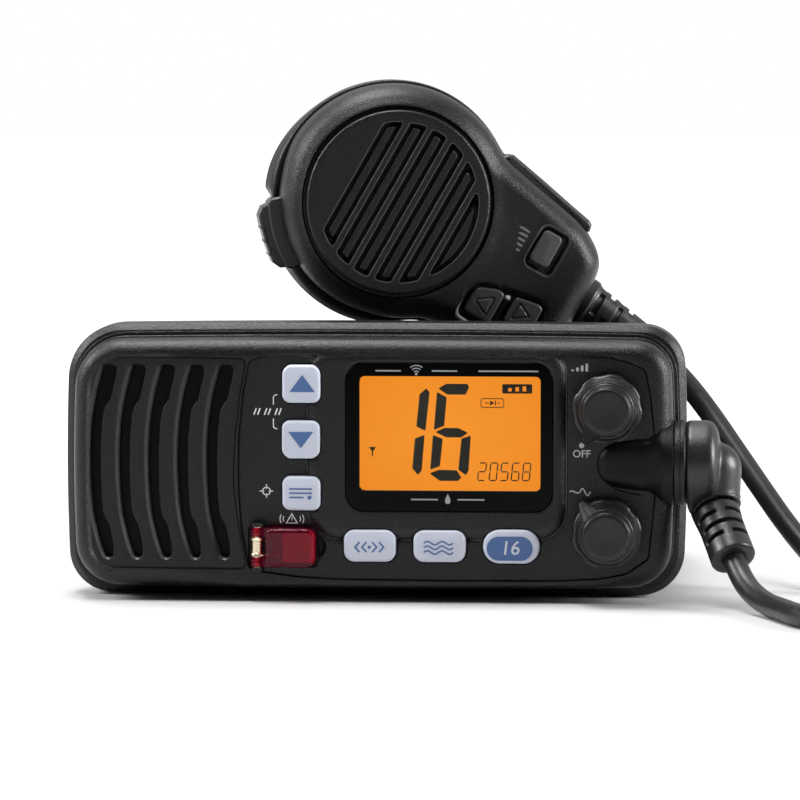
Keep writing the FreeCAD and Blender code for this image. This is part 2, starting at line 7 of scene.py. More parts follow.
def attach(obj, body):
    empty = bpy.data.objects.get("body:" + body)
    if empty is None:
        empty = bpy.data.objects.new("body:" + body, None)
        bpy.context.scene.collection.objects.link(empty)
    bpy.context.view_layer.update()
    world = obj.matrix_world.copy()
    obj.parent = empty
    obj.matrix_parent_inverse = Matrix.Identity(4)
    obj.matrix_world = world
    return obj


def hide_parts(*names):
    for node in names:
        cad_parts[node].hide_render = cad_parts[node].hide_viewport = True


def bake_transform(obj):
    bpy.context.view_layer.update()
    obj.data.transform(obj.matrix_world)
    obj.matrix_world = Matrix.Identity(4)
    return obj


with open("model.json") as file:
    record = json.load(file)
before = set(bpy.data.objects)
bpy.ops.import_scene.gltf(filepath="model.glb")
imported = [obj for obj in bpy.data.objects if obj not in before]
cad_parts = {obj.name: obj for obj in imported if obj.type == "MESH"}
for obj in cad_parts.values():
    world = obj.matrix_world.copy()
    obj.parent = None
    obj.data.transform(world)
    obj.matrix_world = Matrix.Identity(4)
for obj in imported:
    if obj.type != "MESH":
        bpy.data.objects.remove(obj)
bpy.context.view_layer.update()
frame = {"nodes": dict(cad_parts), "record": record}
NODES = frame["nodes"]
MM = 0.001

# ------------------------------------------------------------------ camera
CAM_D, CAM_A, CAM_E, CAM_K = 1200.0, math.radians(3.7), math.radians(4.2), 0.2445
cam_t = Vector((6.97, -62.0, 49.9))
cam_d = Vector((-math.sin(CAM_A) * math.cos(CAM_E), math.cos(CAM_A) * math.cos(CAM_E), -math.sin(CAM_E)))
cam = bpy.data.cameras.new("camera")
cam.lens, cam.sensor_width = 36.0 * CAM_D / (800 * CAM_K), 36.0
cam.clip_start, cam.clip_end = 0.05, 20
cam_o = bpy.data.objects.new("camera", cam)
bpy.context.scene.collection.objects.link(cam_o)
cam_o.location = (cam_t - cam_d * CAM_D) * MM
cam_o.rotation_mode = "QUATERNION"
cam_o.rotation_quaternion = cam_d.to_track_quat("-Z", "Y")
bpy.context.scene.camera = cam_o

# ------------------------------------------------------------------ materials
MATS = {}


def _node(nt, kind, x=0, **inputs):
    n = nt.nodes.new(kind)
    for k, v in inputs.items():
        n.inputs[k].default_value = v
    return n


def material(name, color, rough=0.5, spec=0.5, metal=0.0, grain=0.0, grain_scale=3500.0, grain_height=0.00003, mottling=0.0, mottling_scale=60.0,
             rough_var=0.0, rough_scale=900.0, coat=0.0, coat_rough=0.1, sheen=0.0, emission=None, strength=0.0, transmission=0.0, ior=1.5, dust=0.0,
             edge=0.0, subsurface=0.0, subsurface_radius=(1, 1, 1), brushed=0.0, alpha=1.0):
    """A surface whose colour, roughness and relief come from noise at real scale (object coordinates are metres)."""
    m = bpy.data.materials.new(name)
    m.use_nodes = True
    nt = m.node_tree
    b = nt.nodes["Principled BSDF"]
    b.inputs["Base Color"].default_value = (*color, 1)
    b.inputs["Roughness"].default_value = rough
    b.inputs["Metallic"].default_value = metal
    b.inputs["Specular IOR Level"].default_value = spec
    b.inputs["Coat Weight"].default_value = coat
    b.inputs["Coat Roughness"].default_value = coat_rough
    b.inputs["Sheen Weight"].default_value = sheen
    b.inputs["Transmission Weight"].default_value = transmission
    b.inputs["IOR"].default_value = ior
    b.inputs["Alpha"].default_value = alpha
    b.inputs["Subsurface Weight"].default_value = subsurface
    b.inputs["Subsurface Radius"].default_value = subsurface_radius
    b.inputs["Subsurface Scale"].default_value = 0.001
    if emission:
        b.inputs["Emission Color"].default_value = (*emission, 1)
        b.inputs["Emission Strength"].default_value = strength
    tc = nt.nodes.new("ShaderNodeTexCoord")
    L = nt.links.new
    if mottling or dust or edge:
        src = None
        if mottling:
            n = _node(nt, "ShaderNodeTexNoise", Scale=mottling_scale, Detail=5.0, Roughness=0.6)
            L(tc.outputs["Object"], n.inputs["Vector"])
            r = nt.nodes.new("ShaderNodeMapRange")
            r.inputs["From Min"].default_value, r.inputs["From Max"].default_value = 0.3, 0.7
            r.inputs["To Min"].default_value, r.inputs["To Max"].default_value = 1 - mottling, 1 + mottling
            L(n.outputs["Fac"], r.inputs["Value"])
            src = r.outputs["Result"]
        if edge:
            g = nt.nodes.new("ShaderNodeNewGeometry")
            e = nt.nodes.new("ShaderNodeMapRange")
            e.inputs["From Min"].default_value, e.inputs["From Max"].default_value = 0.50, 0.62
            e.inputs["To Min"].default_value, e.inputs["To Max"].default_value = 1.0, 1.0 + edge
            L(g.outputs["Pointiness"], e.inputs["Value"])
            if src:
                mu = nt.nodes.new("ShaderNodeMath"); mu.operation = "MULTIPLY"
                L(src, mu.inputs[0]); L(e.outputs["Result"], mu.inputs[1])
                src = mu.outputs[0]
            else:
                src = e.outputs["Result"]
        if dust:
            n2 = _node(nt, "ShaderNodeTexNoise", Scale=grain_scale * 0.6, Detail=2.0)
            L(tc.outputs["Object"], n2.inputs["Vector"])
            r2 = nt.nodes.new("ShaderNodeMapRange")
            r2.inputs["From Min"].default_value, r2.inputs["From Max"].default_value = 0.62, 0.74
            r2.inputs["To Min"].default_value, r2.inputs["To Max"].default_value = 1.0, 1 + dust
            L(n2.outputs["Fac"], r2.inputs["Value"])
            if src:
                mu = nt.nodes.new("ShaderNodeMath"); mu.operation = "MULTIPLY"
                L(src, mu.inputs[0]); L(r2.outputs["Result"], mu.inputs[1])
                src = mu.outputs[0]
            else:
                src = r2.outputs["Result"]
        sc = nt.nodes.new("ShaderNodeVectorMath"); sc.operation = "SCALE"
        sc.inputs[0].default_value = color
        L(src, sc.inputs["Scale"])
        L(sc.outputs[0], b.inputs["Base Color"])
    if rough_var:
        n = _node(nt, "ShaderNodeTexNoise", Scale=rough_scale, Detail=3.0)
        L(tc.outputs["Object"], n.inputs["Vector"])
        r = nt.nodes.new("ShaderNodeMapRange")
        r.inputs["From Min"].default_value, r.inputs["From Max"].default_value = 0.3, 0.7
        r.inputs["To Min"].default_value, r.inputs["To Max"].default_value = max(rough - rough_var, 0.02), min(rough + rough_var, 1)
        L(n.outputs["Fac"], r.inputs["Value"])
        L(r.outputs["Result"], b.inputs["Roughness"])
    if grain:
        n = _node(nt, "ShaderNodeTexNoise", Scale=grain_scale, Detail=2.5, Roughness=0.55)
        if brushed:
            mp = nt.nodes.new("ShaderNodeMapping")
            mp.inputs["Scale"].default_value = (1, 1, brushed)
            L(tc.outputs["Object"], mp.inputs["Vector"]); L(mp.outputs["Vector"], n.inputs["Vector"])
        else:
            L(tc.outputs["Object"], n.inputs["Vector"])
        bp = _node(nt, "ShaderNodeBump", Strength=grain, Distance=grain_height)
        L(n.outputs["Fac"], bp.inputs["Height"])
        L(bp.outputs["Normal"], b.inputs["Normal"])
    MATS[name] = m
    return m


BLACK = material("black_moulding", (0.0058, 0.0060, 0.0064), rough=0.32, spec=0.36, grain=0.95, grain_scale=3300, grain_height=0.00013, mottling=0.32, mottling_scale=2600, rough_var=0.09, rough_scale=2500)
BLACK_SMOOTH = material("black_smooth", (0.0056, 0.0058, 0.0062), rough=0.26, spec=0.32, grain=0.5, grain_scale=3000, grain_height=8e-05, mottling=0.08, mottling_scale=500, rough_var=0.05)
KNOB = material("knob_black", (0.0086, 0.0088, 0.0092), rough=0.34, spec=0.42, grain=0.35, grain_scale=3200, grain_height=3e-05, mottling=0.08, mottling_scale=900, rough_var=0.06)
KNOB_DIM = material("knob_pointer", (0.0085, 0.0087, 0.0092), rough=0.46, spec=0.20, grain=0.35, grain_scale=3200, grain_height=0.00003, mottling=0.08, mottling_scale=900, rough_var=0.05)
RUBBER = material("rubber_black", (0.0115, 0.0117, 0.0122), rough=0.36, spec=0.52, grain=0.6, grain_scale=3000, grain_height=7e-05, mottling=0.2, mottling_scale=2200, rough_var=0.07)
CORD = material("cord_jacket", (0.013, 0.013, 0.0134), rough=0.38, spec=0.45, grain=0.4, grain_scale=2600, grain_height=0.00004, mottling=0.12, mottling_scale=350, rough_var=0.07)
GLOSS = material("window_gloss", (0.0016, 0.0016, 0.0018), rough=0.1, spec=0.06, coat=0.0, coat_rough=0.05, mottling=0.05, mottling_scale=40, rough_var=0.03, rough_scale=200)
CLEAR = material("window_clear", (1.0, 1.0, 1.0), rough=0.02, spec=0.05, transmission=1.0, ior=1.08)
KEY = material("key_white", (0.585, 0.615, 0.715), rough=0.40, spec=0.3, mottling=0.03, mottling_scale=300, rough_var=0.04, grain=0.15, grain_scale=3500, grain_height=0.00003, subsurface=0.12, subsurface_radius=(0.8, 0.9, 1.2))
GREYKEY = material("key_grey", (0.060, 0.061, 0.063), rough=0.42, spec=0.4, mottling=0.06, mottling_scale=500, grain=0.4, grain_scale=4500, grain_height=0.00003, rough_var=0.05)
RED = material("key_red", (0.34, 0.001, 0.014), rough=0.34, spec=0.15, mottling=0.08, mottling_scale=400, rough_var=0.05, coat=0.0)
PAD_RED = material("pad_red", (0.54, 0.006, 0.040), rough=0.34, spec=0.15, mottling=0.08, mottling_scale=400, rough_var=0.05, coat=0.0)
FLAP = material("flap_clear_red", (0.58, 0.008, 0.085), rough=0.06, spec=0.18, transmission=0.92, ior=1.3, mottling=0.05, mottling_scale=300, rough_var=0.03)
BRASS = material("pin_brass", (0.86, 0.74, 0.52), rough=0.3, metal=1.0, mottling=0.06, mottling_scale=900, rough_var=0.08, grain=0.2, grain_scale=6000, grain_height=0.00001)
STEEL = material("steel", (0.62, 0.62, 0.60), rough=0.30, metal=1.0, mottling=0.05, mottling_scale=900, rough_var=0.08, grain=0.2, grain_scale=4000, grain_height=0.00001)
NICKEL = material("nickel", (0.70, 0.69, 0.65), rough=0.24, metal=1.0, mottling=0.05, mottling_scale=700, rough_var=0.07)
CAST = material("chassis_coat", (0.013, 0.013, 0.0135), rough=0.48, spec=0.32, grain=0.95, grain_scale=2200, grain_height=0.00018, mottling=0.25, mottling_scale=1800, rough_var=0.08)
CLOTH = material("cloth_black", (0.0030, 0.0030, 0.0032), rough=0.45, spec=0.1, grain=0.5, grain_scale=2600, grain_height=0.00004, mottling=0.25, mottling_scale=1500, rough_var=0.08)
BOARD = material("board_green", (0.015, 0.13, 0.055), rough=0.35, spec=0.5, mottling=0.12, mottling_scale=350, rough_var=0.06)
WHITE = material("insulator_white", (0.75, 0.74, 0.70), rough=0.4, mottling=0.04, mottling_scale=500, rough_var=0.05)
SILICONE = material("mat_silicone", (0.30, 0.31, 0.32), rough=0.6, mottling=0.05, mottling_scale=500, rough_var=0.05)
PAPER = material("cone_paper", (0.02, 0.02, 0.02), rough=0.8, mottling=0.2, mottling_scale=900, rough_var=0.05)
PRINT = material("print_white", (0.80, 0.81, 0.82), rough=0.55, mottling=0.04, mottling_scale=2500, rough_var=0.05)
PRINT_GREY = material("print_grey", (0.34, 0.35, 0.36), rough=0.55, mottling=0.05, mottling_scale=2500, rough_var=0.05)
BLUE = material("print_blue", (0.065, 0.135, 0.33), rough=0.5, mottling=0.05, mottling_scale=2500, rough_var=0.05)
SEGMENT = material("lcd_segment", (0.022, 0.022, 0.018), rough=0.5, spec=0.2, mottling=0.05, mottling_scale=900)
RUBBER_GREY = material("rubber_key", (0.029, 0.0295, 0.0305), rough=0.36, spec=0.45, grain=0.6, grain_scale=3000, grain_height=0.0001, mottling=0.2, mottling_scale=2200, rough_var=0.07)
PRINT_DIM = material("print_dim", (0.16, 0.162, 0.165), rough=0.5, mottling=0.05, mottling_scale=2500, rough_var=0.05)
# pale grey for the lip of the microphone's key recess and the small dome between its keys: a painted glint
GLINT = material("painted_glint", (0.30, 0.30, 0.31), rough=0.12, spec=0.6, mottling=0.05, mottling_scale=900, rough_var=0.03)
# a lighter copy of the moulding black for edges that catch the light: a painted highlight
BLACK_PAINTED_HIGHLIGHT = material("black_painted_highlight", (0.050, 0.051, 0.053), rough=0.32, spec=0.6, grain=0.3, grain_scale=3000, grain_height=0.00004, mottling=0.2, mottling_scale=1500, rough_var=0.06)
# near-black for the walls and floors of the microphone's grille slots: painted shade
SHADOW = material("grille_recess_painted_shade", (0.0044, 0.0044, 0.0046), rough=0.5, spec=0.2, grain=0.8, grain_scale=2400, grain_height=0.00012, mottling=0.4, mottling_scale=2400)
# a darker copy of the moulding black, for the plug's neck: painted shade
BLACK_PAINTED_SHADE = material("black_shaded", (0.0040, 0.0041, 0.0043), rough=0.36, spec=0.20, grain=0.95, grain_scale=3300, grain_height=0.00012, mottling=0.3, mottling_scale=2600, rough_var=0.06)
# a lighter copy of the moulding black for the wide left bevels of the speaker slots: a painted highlight
BEVEL_PAINTED_HIGHLIGHT = material("slot_bevel_painted_highlight", (0.0125, 0.0127, 0.0132), rough=0.36, spec=0.45, grain=0.95, grain_scale=3300, grain_height=0.00013, mottling=0.4, mottling_scale=2600, rough_var=0.06)
# near-black for the grooves round the fields, the line round the neck and the bottoms of the plug's slots: painted
# shade
RECESS_PAINTED_SHADE = material("black_recess_painted_shade", (0.0030, 0.0030, 0.0032), rough=0.6, spec=0.12, grain=0.8, grain_scale=2400, grain_height=0.00015, mottling=0.5, mottling_scale=2400)
AMBER = material("lcd_amber_glass", (0.012, 0.005, 0.001), rough=0.35, spec=0.0, emission=(0.93, 0.295, 0.024), strength=0.94, rough_var=0.03)


def lit(m, centre, size, inner, outer, strength):
    """A back-lit field: a little brighter in its middle, uneven by a few percent."""
    nt = m.node_tree
    b = nt.nodes["Principled BSDF"]
    tc = nt.nodes.new("ShaderNodeTexCoord")
    mp = nt.nodes.new("ShaderNodeMapping")
    mp.vector_type = "TEXTURE"
    mp.inputs["Location"].default_value = centre
    mp.inputs["Scale"].default_value = size
    nt.links.new(tc.outputs["Object"], mp.inputs["Vector"])
    g = nt.nodes.new("ShaderNodeTexGradient"); g.gradient_type = "SPHERICAL"
    nt.links.new(mp.outputs["Vector"], g.inputs["Vector"])
    n = _node(nt, "ShaderNodeTexNoise", Scale=60.0, Detail=2.0)
    nt.links.new(tc.outputs["Object"], n.inputs["Vector"])
    ad = nt.nodes.new("ShaderNodeMath"); ad.operation = "MULTIPLY_ADD"
    nt.links.new(n.outputs["Fac"], ad.inputs[0]); ad.inputs[1].default_value = 0.25
    nt.links.new(g.outputs["Fac"], ad.inputs[2])
    mx = nt.nodes.new("ShaderNodeMixRGB")
    mx.inputs["Color1"].default_value = (*outer, 1)
    mx.inputs["Color2"].default_value = (*inner, 1)
    nt.links.new(ad.outputs[0], mx.inputs["Fac"])
    nt.links.new(mx.outputs["Color"], b.inputs["Emission Color"])
    b.inputs["Emission Strength"].default_value = strength


lit(AMBER, (0.0192, -0.0604, 0.0417), (0.034, 0.02, 0.024), (0.96, 0.315, 0.030), (0.88, 0.255, 0.018), 0.94)

PLAIN = {
    "moulded_black": BLACK, "knob_black": KNOB, "rubber_black": RUBBER, "cord_black": CORD, "window_black": GLOSS, "lcd_amber": WHITE, "light_guide": WHITE,
    "key_white": KEY, "key_grey": GREYKEY, "flap_red": RED, "key_red": RED, "pin_brass": BRASS, "mat_silicone": SILICONE, "board_green": BOARD,
    "cloth_black": CLOTH, "speaker_metal": STEEL, "cone_paper": PAPER, "chassis_cast": CAST, "screw_steel": STEEL, "plated_metal": NICKEL, "insulator_white": WHITE,
}
for s in frame["record"]["subparts"]:
    o = NODES[s["node"]]
    o.data.materials.clear()
    o.data.materials.append(PLAIN[s["material_slot"]])

# ------------------------------------------------------------------ floor and light
fm = bpy.data.meshes.new("floor")
fm.from_pydata([(-6, -6, 0), (6, -6, 0), (6, 6, 0), (-6, 6, 0)], [], [(0, 1, 2, 3)])
floor = bpy.data.objects.new("floor", fm)
bpy.context.scene.collection.objects.link(floor)
FLOOR = material("floor_white", (0.90, 0.90, 0.905), rough=0.6, spec=0.15)


def floor_look(m):
    """White around and behind the object, where it is lit from below as a light table is, and a darker grey far in
    front of it: painted shade, which the front of the object mirrors as a dim floor.
    """
    nt = m.node_tree
    b = nt.nodes["Principled BSDF"]
    tc = nt.nodes.new("ShaderNodeTexCoord")
    sp = nt.nodes.new("ShaderNodeSeparateXYZ")
    nt.links.new(tc.outputs["Object"], sp.inputs[0])

    def reading(lo, hi, a, c):
        r = nt.nodes.new("ShaderNodeMapRange")
        r.interpolation_type = "SMOOTHSTEP"
        for k, v in (("From Min", lo), ("From Max", hi), ("To Min", a), ("To Max", c)):
            r.inputs[k].default_value = v
        nt.links.new(sp.outputs["Y"], r.inputs["Value"])
        return r.outputs["Result"]

    n = _node(nt, "ShaderNodeTexNoise", Scale=2.5, Detail=2.0)
    nt.links.new(tc.outputs["Object"], n.inputs["Vector"])
    tone = nt.nodes.new("ShaderNodeMath"); tone.operation = "MULTIPLY_ADD"
    nt.links.new(n.outputs["Fac"], tone.inputs[0]); tone.inputs[1].default_value = 0.01
    nt.links.new(reading(-0.95, -0.50, 0.16, 0.575), tone.inputs[2])
    cb = nt.nodes.new("ShaderNodeCombineColor")
    for k in range(3):
        nt.links.new(tone.outputs[0], cb.inputs[k])
    nt.links.new(cb.outputs[0], b.inputs["Base Color"])
    b.inputs["Emission Strength"].default_value = 1.0
    glow = nt.nodes.new("ShaderNodeCombineColor")
    g = reading(0.08, 0.55, 0.0, 0.75)
    for k in range(3):
        nt.links.new(g, glow.inputs[k])
    nt.links.new(glow.outputs[0], b.inputs["Emission Color"])


floor_look(FLOOR)
fm.materials.append(FLOOR)
bpy.context.scene.view_settings.view_transform = "Standard"
world = bpy.data.worlds.new("studio")
bpy.context.scene.world = world
world.use_nodes = True
wt = world.node_tree
bg = wt.nodes["Background"]
wc = wt.nodes.new("ShaderNodeTexCoord")
ws = wt.nodes.new("ShaderNodeSeparateXYZ")
wt.links.new(wc.outputs["Generated"], ws.inputs[0])
# a white backdrop, and a room that is dim in front of the object
w1 = wt.nodes.new("ShaderNodeMapRange")
w1.interpolation_type = "SMOOTHSTEP"
for k_, v_ in (("From Min", -0.75), ("From Max", 0.35), ("To Min", 0.0), ("To Max", 1.0)):
    w1.inputs[k_].default_value = v_
wt.links.new(ws.outputs["Y"], w1.inputs["Value"])
wr = wt.nodes.new("ShaderNodeMixRGB")
wr.inputs["Color1"].default_value = (0.07, 0.07, 0.0712, 1)
wr.inputs["Color2"].default_value = (0.62, 0.62, 0.625, 1)
wt.links.new(w1.outputs["Result"], wr.inputs["Fac"])
wp = wt.nodes.new("ShaderNodeLightPath")
wm = wt.nodes.new("ShaderNodeMixRGB")
wm.inputs["Color2"].default_value = (1.0, 1.0, 1.0, 1)
wt.links.new(wp.outputs["Is Camera Ray"], wm.inputs["Fac"])
wt.links.new(wr.outputs["Color"], wm.inputs["Color1"])
wt.links.new(wm.outputs["Color"], bg.inputs["Color"])
bg.inputs["Strength"].default_value = 1.0


def area(name, loc, target, size, power, color=(1, 1, 1)):
    l = bpy.data.lights.new(name, "AREA")
    l.shape, l.size, l.size_y = "RECTANGLE", size[0], size[1]
    l.energy, l.color = power, color
    o = bpy.data.objects.new(name, l)
    bpy.context.scene.collection.objects.link(o)
    o.location = loc
    o.rotation_mode = "QUATERNION"
    o.rotation_quaternion = (Vector(target) - Vector(loc)).to_track_quat("-Z", "Y")
    return o


sun = bpy.data.lights.new("sun", "SUN")
sun.energy, sun.angle = 0.5, math.radians(50)
sun_o = bpy.data.objects.new("sun", sun)
bpy.context.scene.collection.objects.link(sun_o)
sun_o.rotation_mode = "QUATERNION"
sun_o.rotation_quaternion = Vector((0.15, -0.30, -1.0)).to_track_quat("-Z", "Y")
area("right", (1.00, -0.13, 0.36), (0, 0, 0.05), (0.42, 0.5), 14.0)
area("left", (-0.92, -0.12, 0.66), (0, 0, 0.06), (0.4, 0.5), 10.5)
area("top", (-0.14, -0.02, 1.0), (0, 0, 0.05), (0.8, 0.30), 10.0)

# ------------------------------------------------------------------ cords: one smooth line each, turning about the points of the route
PLUG_CORD = [
    (88.6, -68.6, 11.9), (90.1, -71.9, 8.3), (92.8, -77.6, 4.9), (96.4, -85.2, 3.0), (100.2, -95.6, 2.8), (104.4, -108.9, 2.8),
    (116.2, -121.8, 2.8), (131.5, -129.7, 2.8), (148.0, -131.3, 2.8), (163.0, -126.3, 2.8),
]
MIC_CORD = [
    (64.6, 0.0, 61.5), (71.2, 1.4, 55.6), (79.9, -1.2, 46.4), (91.6, -13.6, 30.2), (105.2, -27.6, 11.6),
    (115.6, -37.6, 3.2), (128.4, -45.6, 2.8), (142.0, -50.5, 4.2), (155.0, -53.8, 8.2),
]
CORD_R = 2.8
CC = (148.0, -90.0)


def turn(deg, r, z):
    a = math.radians(deg)
    return (CC[0] + r * math.cos(a), CC[1] + r * math.sin(a), z)


def ramp(x, pts):
    """Straight-line reading of a table of (x, value) pairs."""
    return float(np.interp(x, [p[0] for p in pts], [p[1] for p in pts]))


K = 1 / math.cos(math.radians(11.25)) ** 0.98
coil = []
a = 315.0
while a <= 1500.1:
    r = ramp(a, [(315, 37.0), (337.5, 35.3), (360, 34.8), (630, 34.8), (690, 29.2), (930, 29.2), (1290, 29.2), (1350, 34.8), (1500, 34.8)])
    z = ramp(a, [(315, 2.8), (930, 2.8), (1000, 8.4), (1500, 8.4)])
    coil.append(turn(a, r * K, z))
    a += 22.5
route = PLUG_CORD + coil + list(reversed(MIC_CORD))
print("route points", len(route), "last coil", coil[-1])


def nurbs(name, pts, radius, mat, bevel_res=6, res=10):
    c = bpy.data.curves.new(name, "CURVE")
    c.dimensions = "3D"
    c.resolution_u = res
    c.bevel_depth = radius * MM
    c.bevel_resolution = bevel_res
    c.use_fill_caps = True
    s = c.splines.new("NURBS")
    s.points.add(len(pts) - 1)
    for p, q in zip(s.points, pts):
        p.co = (q[0] * MM, q[1] * MM, q[2] * MM, 1)
    s.order_u = 3
    s.use_endpoint_u = True
    o = bpy.data.objects.new(name, c)
    bpy.context.scene.collection.objects.link(o)
    c.materials.append(mat)
    return o


def centreline(name, pts, res=12):
    """The points of a route's smooth line, as the spline itself gives them."""
    o = nurbs(name, pts, 0, CORD, 0, res)
    o.data.use_fill_caps = False
    me = bpy.data.meshes.new_from_object(o)
    p = np.array([v.co for v in me.vertices]) / MM
    bpy.data.meshes.remove(me)
    bpy.data.objects.remove(o)
    return p


line = centreline("route_line", route)

# ------------------------------------------------------------------ shape helpers, all in millimetres
def arr(p):
    return np.asarray(p, float)


def rrect(cx, cz, w, h, r, n=6):
    """Rounded rectangle in (x, z), counter-clockwise seen from the front."""
    out = []
    for sx, sz, a0 in ((1, -1, -90), (1, 1, 0), (-1, 1, 90), (-1, -1, 180)):
        for i in range(n + 1):
            a = math.radians(a0 + 90 * i / n)
            out.append((cx + sx * (w / 2 - r) + r * math.cos(a), cz + sz * (h / 2 - r) + r * math.sin(a)))
    return arr(out)


def circle(cx, cz, r, n=48, a0=0.0):
    t = np.linspace(0, 2 * math.pi, n, endpoint=False) + math.radians(a0)
    return np.stack([cx + r * np.cos(t), cz + r * np.sin(t)], 1)


def area2(loop):
    x, y = loop[:, 0], loop[:, 1]
    return float(np.sum(x * np.roll(y, -1) - np.roll(x, -1) * y) / 2)


def ccw(loop):
    return loop if area2(loop) > 0 else loop[::-1].copy()


def rounded(points, radii, n=6):
    """A polygon with every corner rounded by a tangent arc."""
    p = arr(points)
    if np.isscalar(radii):
        radii = [radii] * len(p)
    out = []
    for i in range(len(p)):
        a, b, c = p[i - 1], p[i], p[(i + 1) % len(p)]
        u, v = a - b, c - b
        lu, lv = np.linalg.norm(u), np.linalg.norm(v)
        u, v = u / lu, v / lv
        ang = math.acos(max(-1, min(1, float(u @ v))))
        r = radii[i]
        if r <= 0 or ang > math.pi - 0.02:
            out.append(b)
            continue
        t = min(r / math.tan(ang / 2), 0.49 * lu, 0.49 * lv)
        r = t * math.tan(ang / 2)
        m = (u + v) / np.linalg.norm(u + v)
        cen = b + m * (r / math.sin(ang / 2))
        s, e = b + u * t, b + v * t
        a0 = math.atan2(*(s - cen)[::-1])
        a1 = math.atan2(*(e - cen)[::-1])
        da = (a1 - a0 + math.pi) % (2 * math.pi) - math.pi
        for k in range(n + 1):
            q = a0 + da * k / n
            out.append(cen + r * arr([math.cos(q), math.sin(q)]))
    return arr(out)


def smooth_loop(points, n=8):
    """A closed Catmull-Rom curve through the points."""
    p = arr(points)
    N = len(p)
    out = []
    for i in range(N):
        a, b, c, d = p[i - 1], p[i], p[(i + 1) % N], p[(i + 2) % N]
        for k in range(n):
            t = k / n
            out.append(0.5 * (2 * b + (c - a) * t + (2 * a - 5 * b + 4 * c - d) * t * t + (3 * b - a - 3 * c + d) * t ** 3))
    return arr(out)


def densify(loop, step):
    """No edge longer than step."""
    out = []
    for a, b in zip(loop, np.roll(loop, -1, 0)):
        k = max(1, int(math.ceil(np.linalg.norm(b - a) / step)))
        for i in range(k):
            out.append(a + (b - a) * i / k)
    return arr(out)


def resample(loop, n):
    """n points evenly spaced along a closed loop."""
    d = np.linalg.norm(np.roll(loop, -1, 0) - loop, axis=1)
    s = np.concatenate([[0], np.cumsum(d)])
    q = np.linspace(0, s[-1], n, endpoint=False)
    c = np.vstack([loop, loop[:1]])
    return np.stack([np.interp(q, s, c[:, 0]), np.interp(q, s, c[:, 1])], 1)


def offset(loop, d):
    """The loop moved inwards by d, point for point (counter-clockwise loop)."""
    a = loop - np.roll(loop, 1, 0)
    b = np.roll(loop, -1, 0) - loop
    na = np.stack([-a[:, 1], a[:, 0]], 1)
    nb = np.stack([-b[:, 1], b[:, 0]], 1)
    na /= np.maximum(np.linalg.norm(na, axis=1, keepdims=True), 1e-9)
    nb /= np.maximum(np.linalg.norm(nb, axis=1, keepdims=True), 1e-9)
    n = na + nb
    n /= np.maximum(np.linalg.norm(n, axis=1, keepdims=True), 1e-9)
    c = np.maximum((n * nb).sum(1), 0.5)
    return loop + n * (d / c)[:, None]


def sdf(P, loop):
    """Signed distance of points to a closed polygon, negative inside."""
    P = arr(P)
    A, B = loop, np.roll(loop, -1, 0)
    out = np.empty(len(P))
    for s in range(0, len(P), 3000):
        p = P[s:s + 3000][:, None, :]
        d = (B - A)[None]
        w = p - A[None]
        t = np.clip((w * d).sum(2) / np.maximum((d * d).sum(2), 1e-12), 0, 1)
        dist = np.sqrt(((w - d * t[..., None]) ** 2).sum(2)).min(1)
        y0, y1 = A[None, :, 1], B[None, :, 1]
        py, px = p[..., 1], p[..., 0]
        cond = (y0 > py) != (y1 > py)
        xi = (B[None, :, 0] - A[None, :, 0]) * (py - y0) / np.where(np.abs(y1 - y0) < 1e-12, 1e-12, y1 - y0) + A[None, :, 0]
        inside = ((cond & (px < xi)).sum(1) % 2) == 1
        out[s:s + 3000] = np.where(inside, -dist, dist)
    return out


def smoothstep(a, b, x):
    t = np.clip((x - a) / (b - a), 0, 1)
    return t * t * (3 - 2 * t)


def plate(cons, outer, holes, height, grid=2.0, margin=0.25, keep=None):
    """A relief over (x, z): triangles whose edges follow every loop in cons. height is not used: the caller sets the
    depths. Returns vertices (x, z) and triangles.
    """
    pts, edges = [], []
    for lp in [outer] + list(holes) + list(cons):
        k = len(pts)
        n = len(lp)
        pts += [tuple(q) for q in lp]
        edges += [(k + i, k + (i + 1) % n) for i in range(n)]
    lo, hi = outer.min(0), outer.max(0)
    gx, gz = np.meshgrid(np.arange(lo[0] + grid / 2, hi[0], grid), np.arange(lo[1] + grid / 2, hi[1], grid))
    g = np.stack([gx.ravel(), gz.ravel()], 1)
    g[:, 0] += (np.round((g[:, 1] - lo[1]) / grid) % 2) * grid / 2
    ok = sdf(g, outer) < -margin
    for lp in list(holes) + list(cons):
        ok &= np.abs(sdf(g, lp)) > margin
    for lp in holes:
        ok &= sdf(g, lp) > margin
    pts += [tuple(q) for q in g[ok]]
    r = delaunay_2d_cdt([Vector(p) for p in pts], edges, [], 0, 1e-5, False)
    v = arr([(p[0], p[1]) for p in r[0]])
    f = np.array([t for t in r[2] if len(t) == 3], int)
    cen = v[f].mean(1)
    good = sdf(cen, outer) < 0
    for lp in holes:
        good &= sdf(cen, lp) > 0
    f = f[good]
    return v, f


class Shape:
    """Collects faces; points are 3-D, in millimetres."""

    def __init__(self):
        self.v, self.f, self.m = [], [], []

    def points(self, p):
        k = len(self.v)
        self.v += [tuple(map(float, q)) for q in p]
        return list(range(k, len(self.v)))

    def face(self, ids, m=0):
        self.f.append(tuple(ids)); self.m.append(m)

    def bridge(self, a, b, closed=True, m=0):
        n = len(a)
        for i in range(n if closed else n - 1):
            j = (i + 1) % n
            self.face((a[i], a[j], b[j], b[i]), m)

    def rings(self, rings, closed=True, cap0=False, cap1=False, m=0):
        ids = [self.points(r) for r in rings]
        for a, b in zip(ids[:-1], ids[1:]):
            self.bridge(a, b, closed, m)
        if cap0:
            self.face(ids[0][::-1], m)
        if cap1:
            self.face(ids[-1], m)
        return ids

    def fan(self, ring, apex, m=0):
        c = self.points([apex])[0]
        n = len(ring)
        for i in range(n):
            self.face((ring[i], ring[(i + 1) % n], c), m)


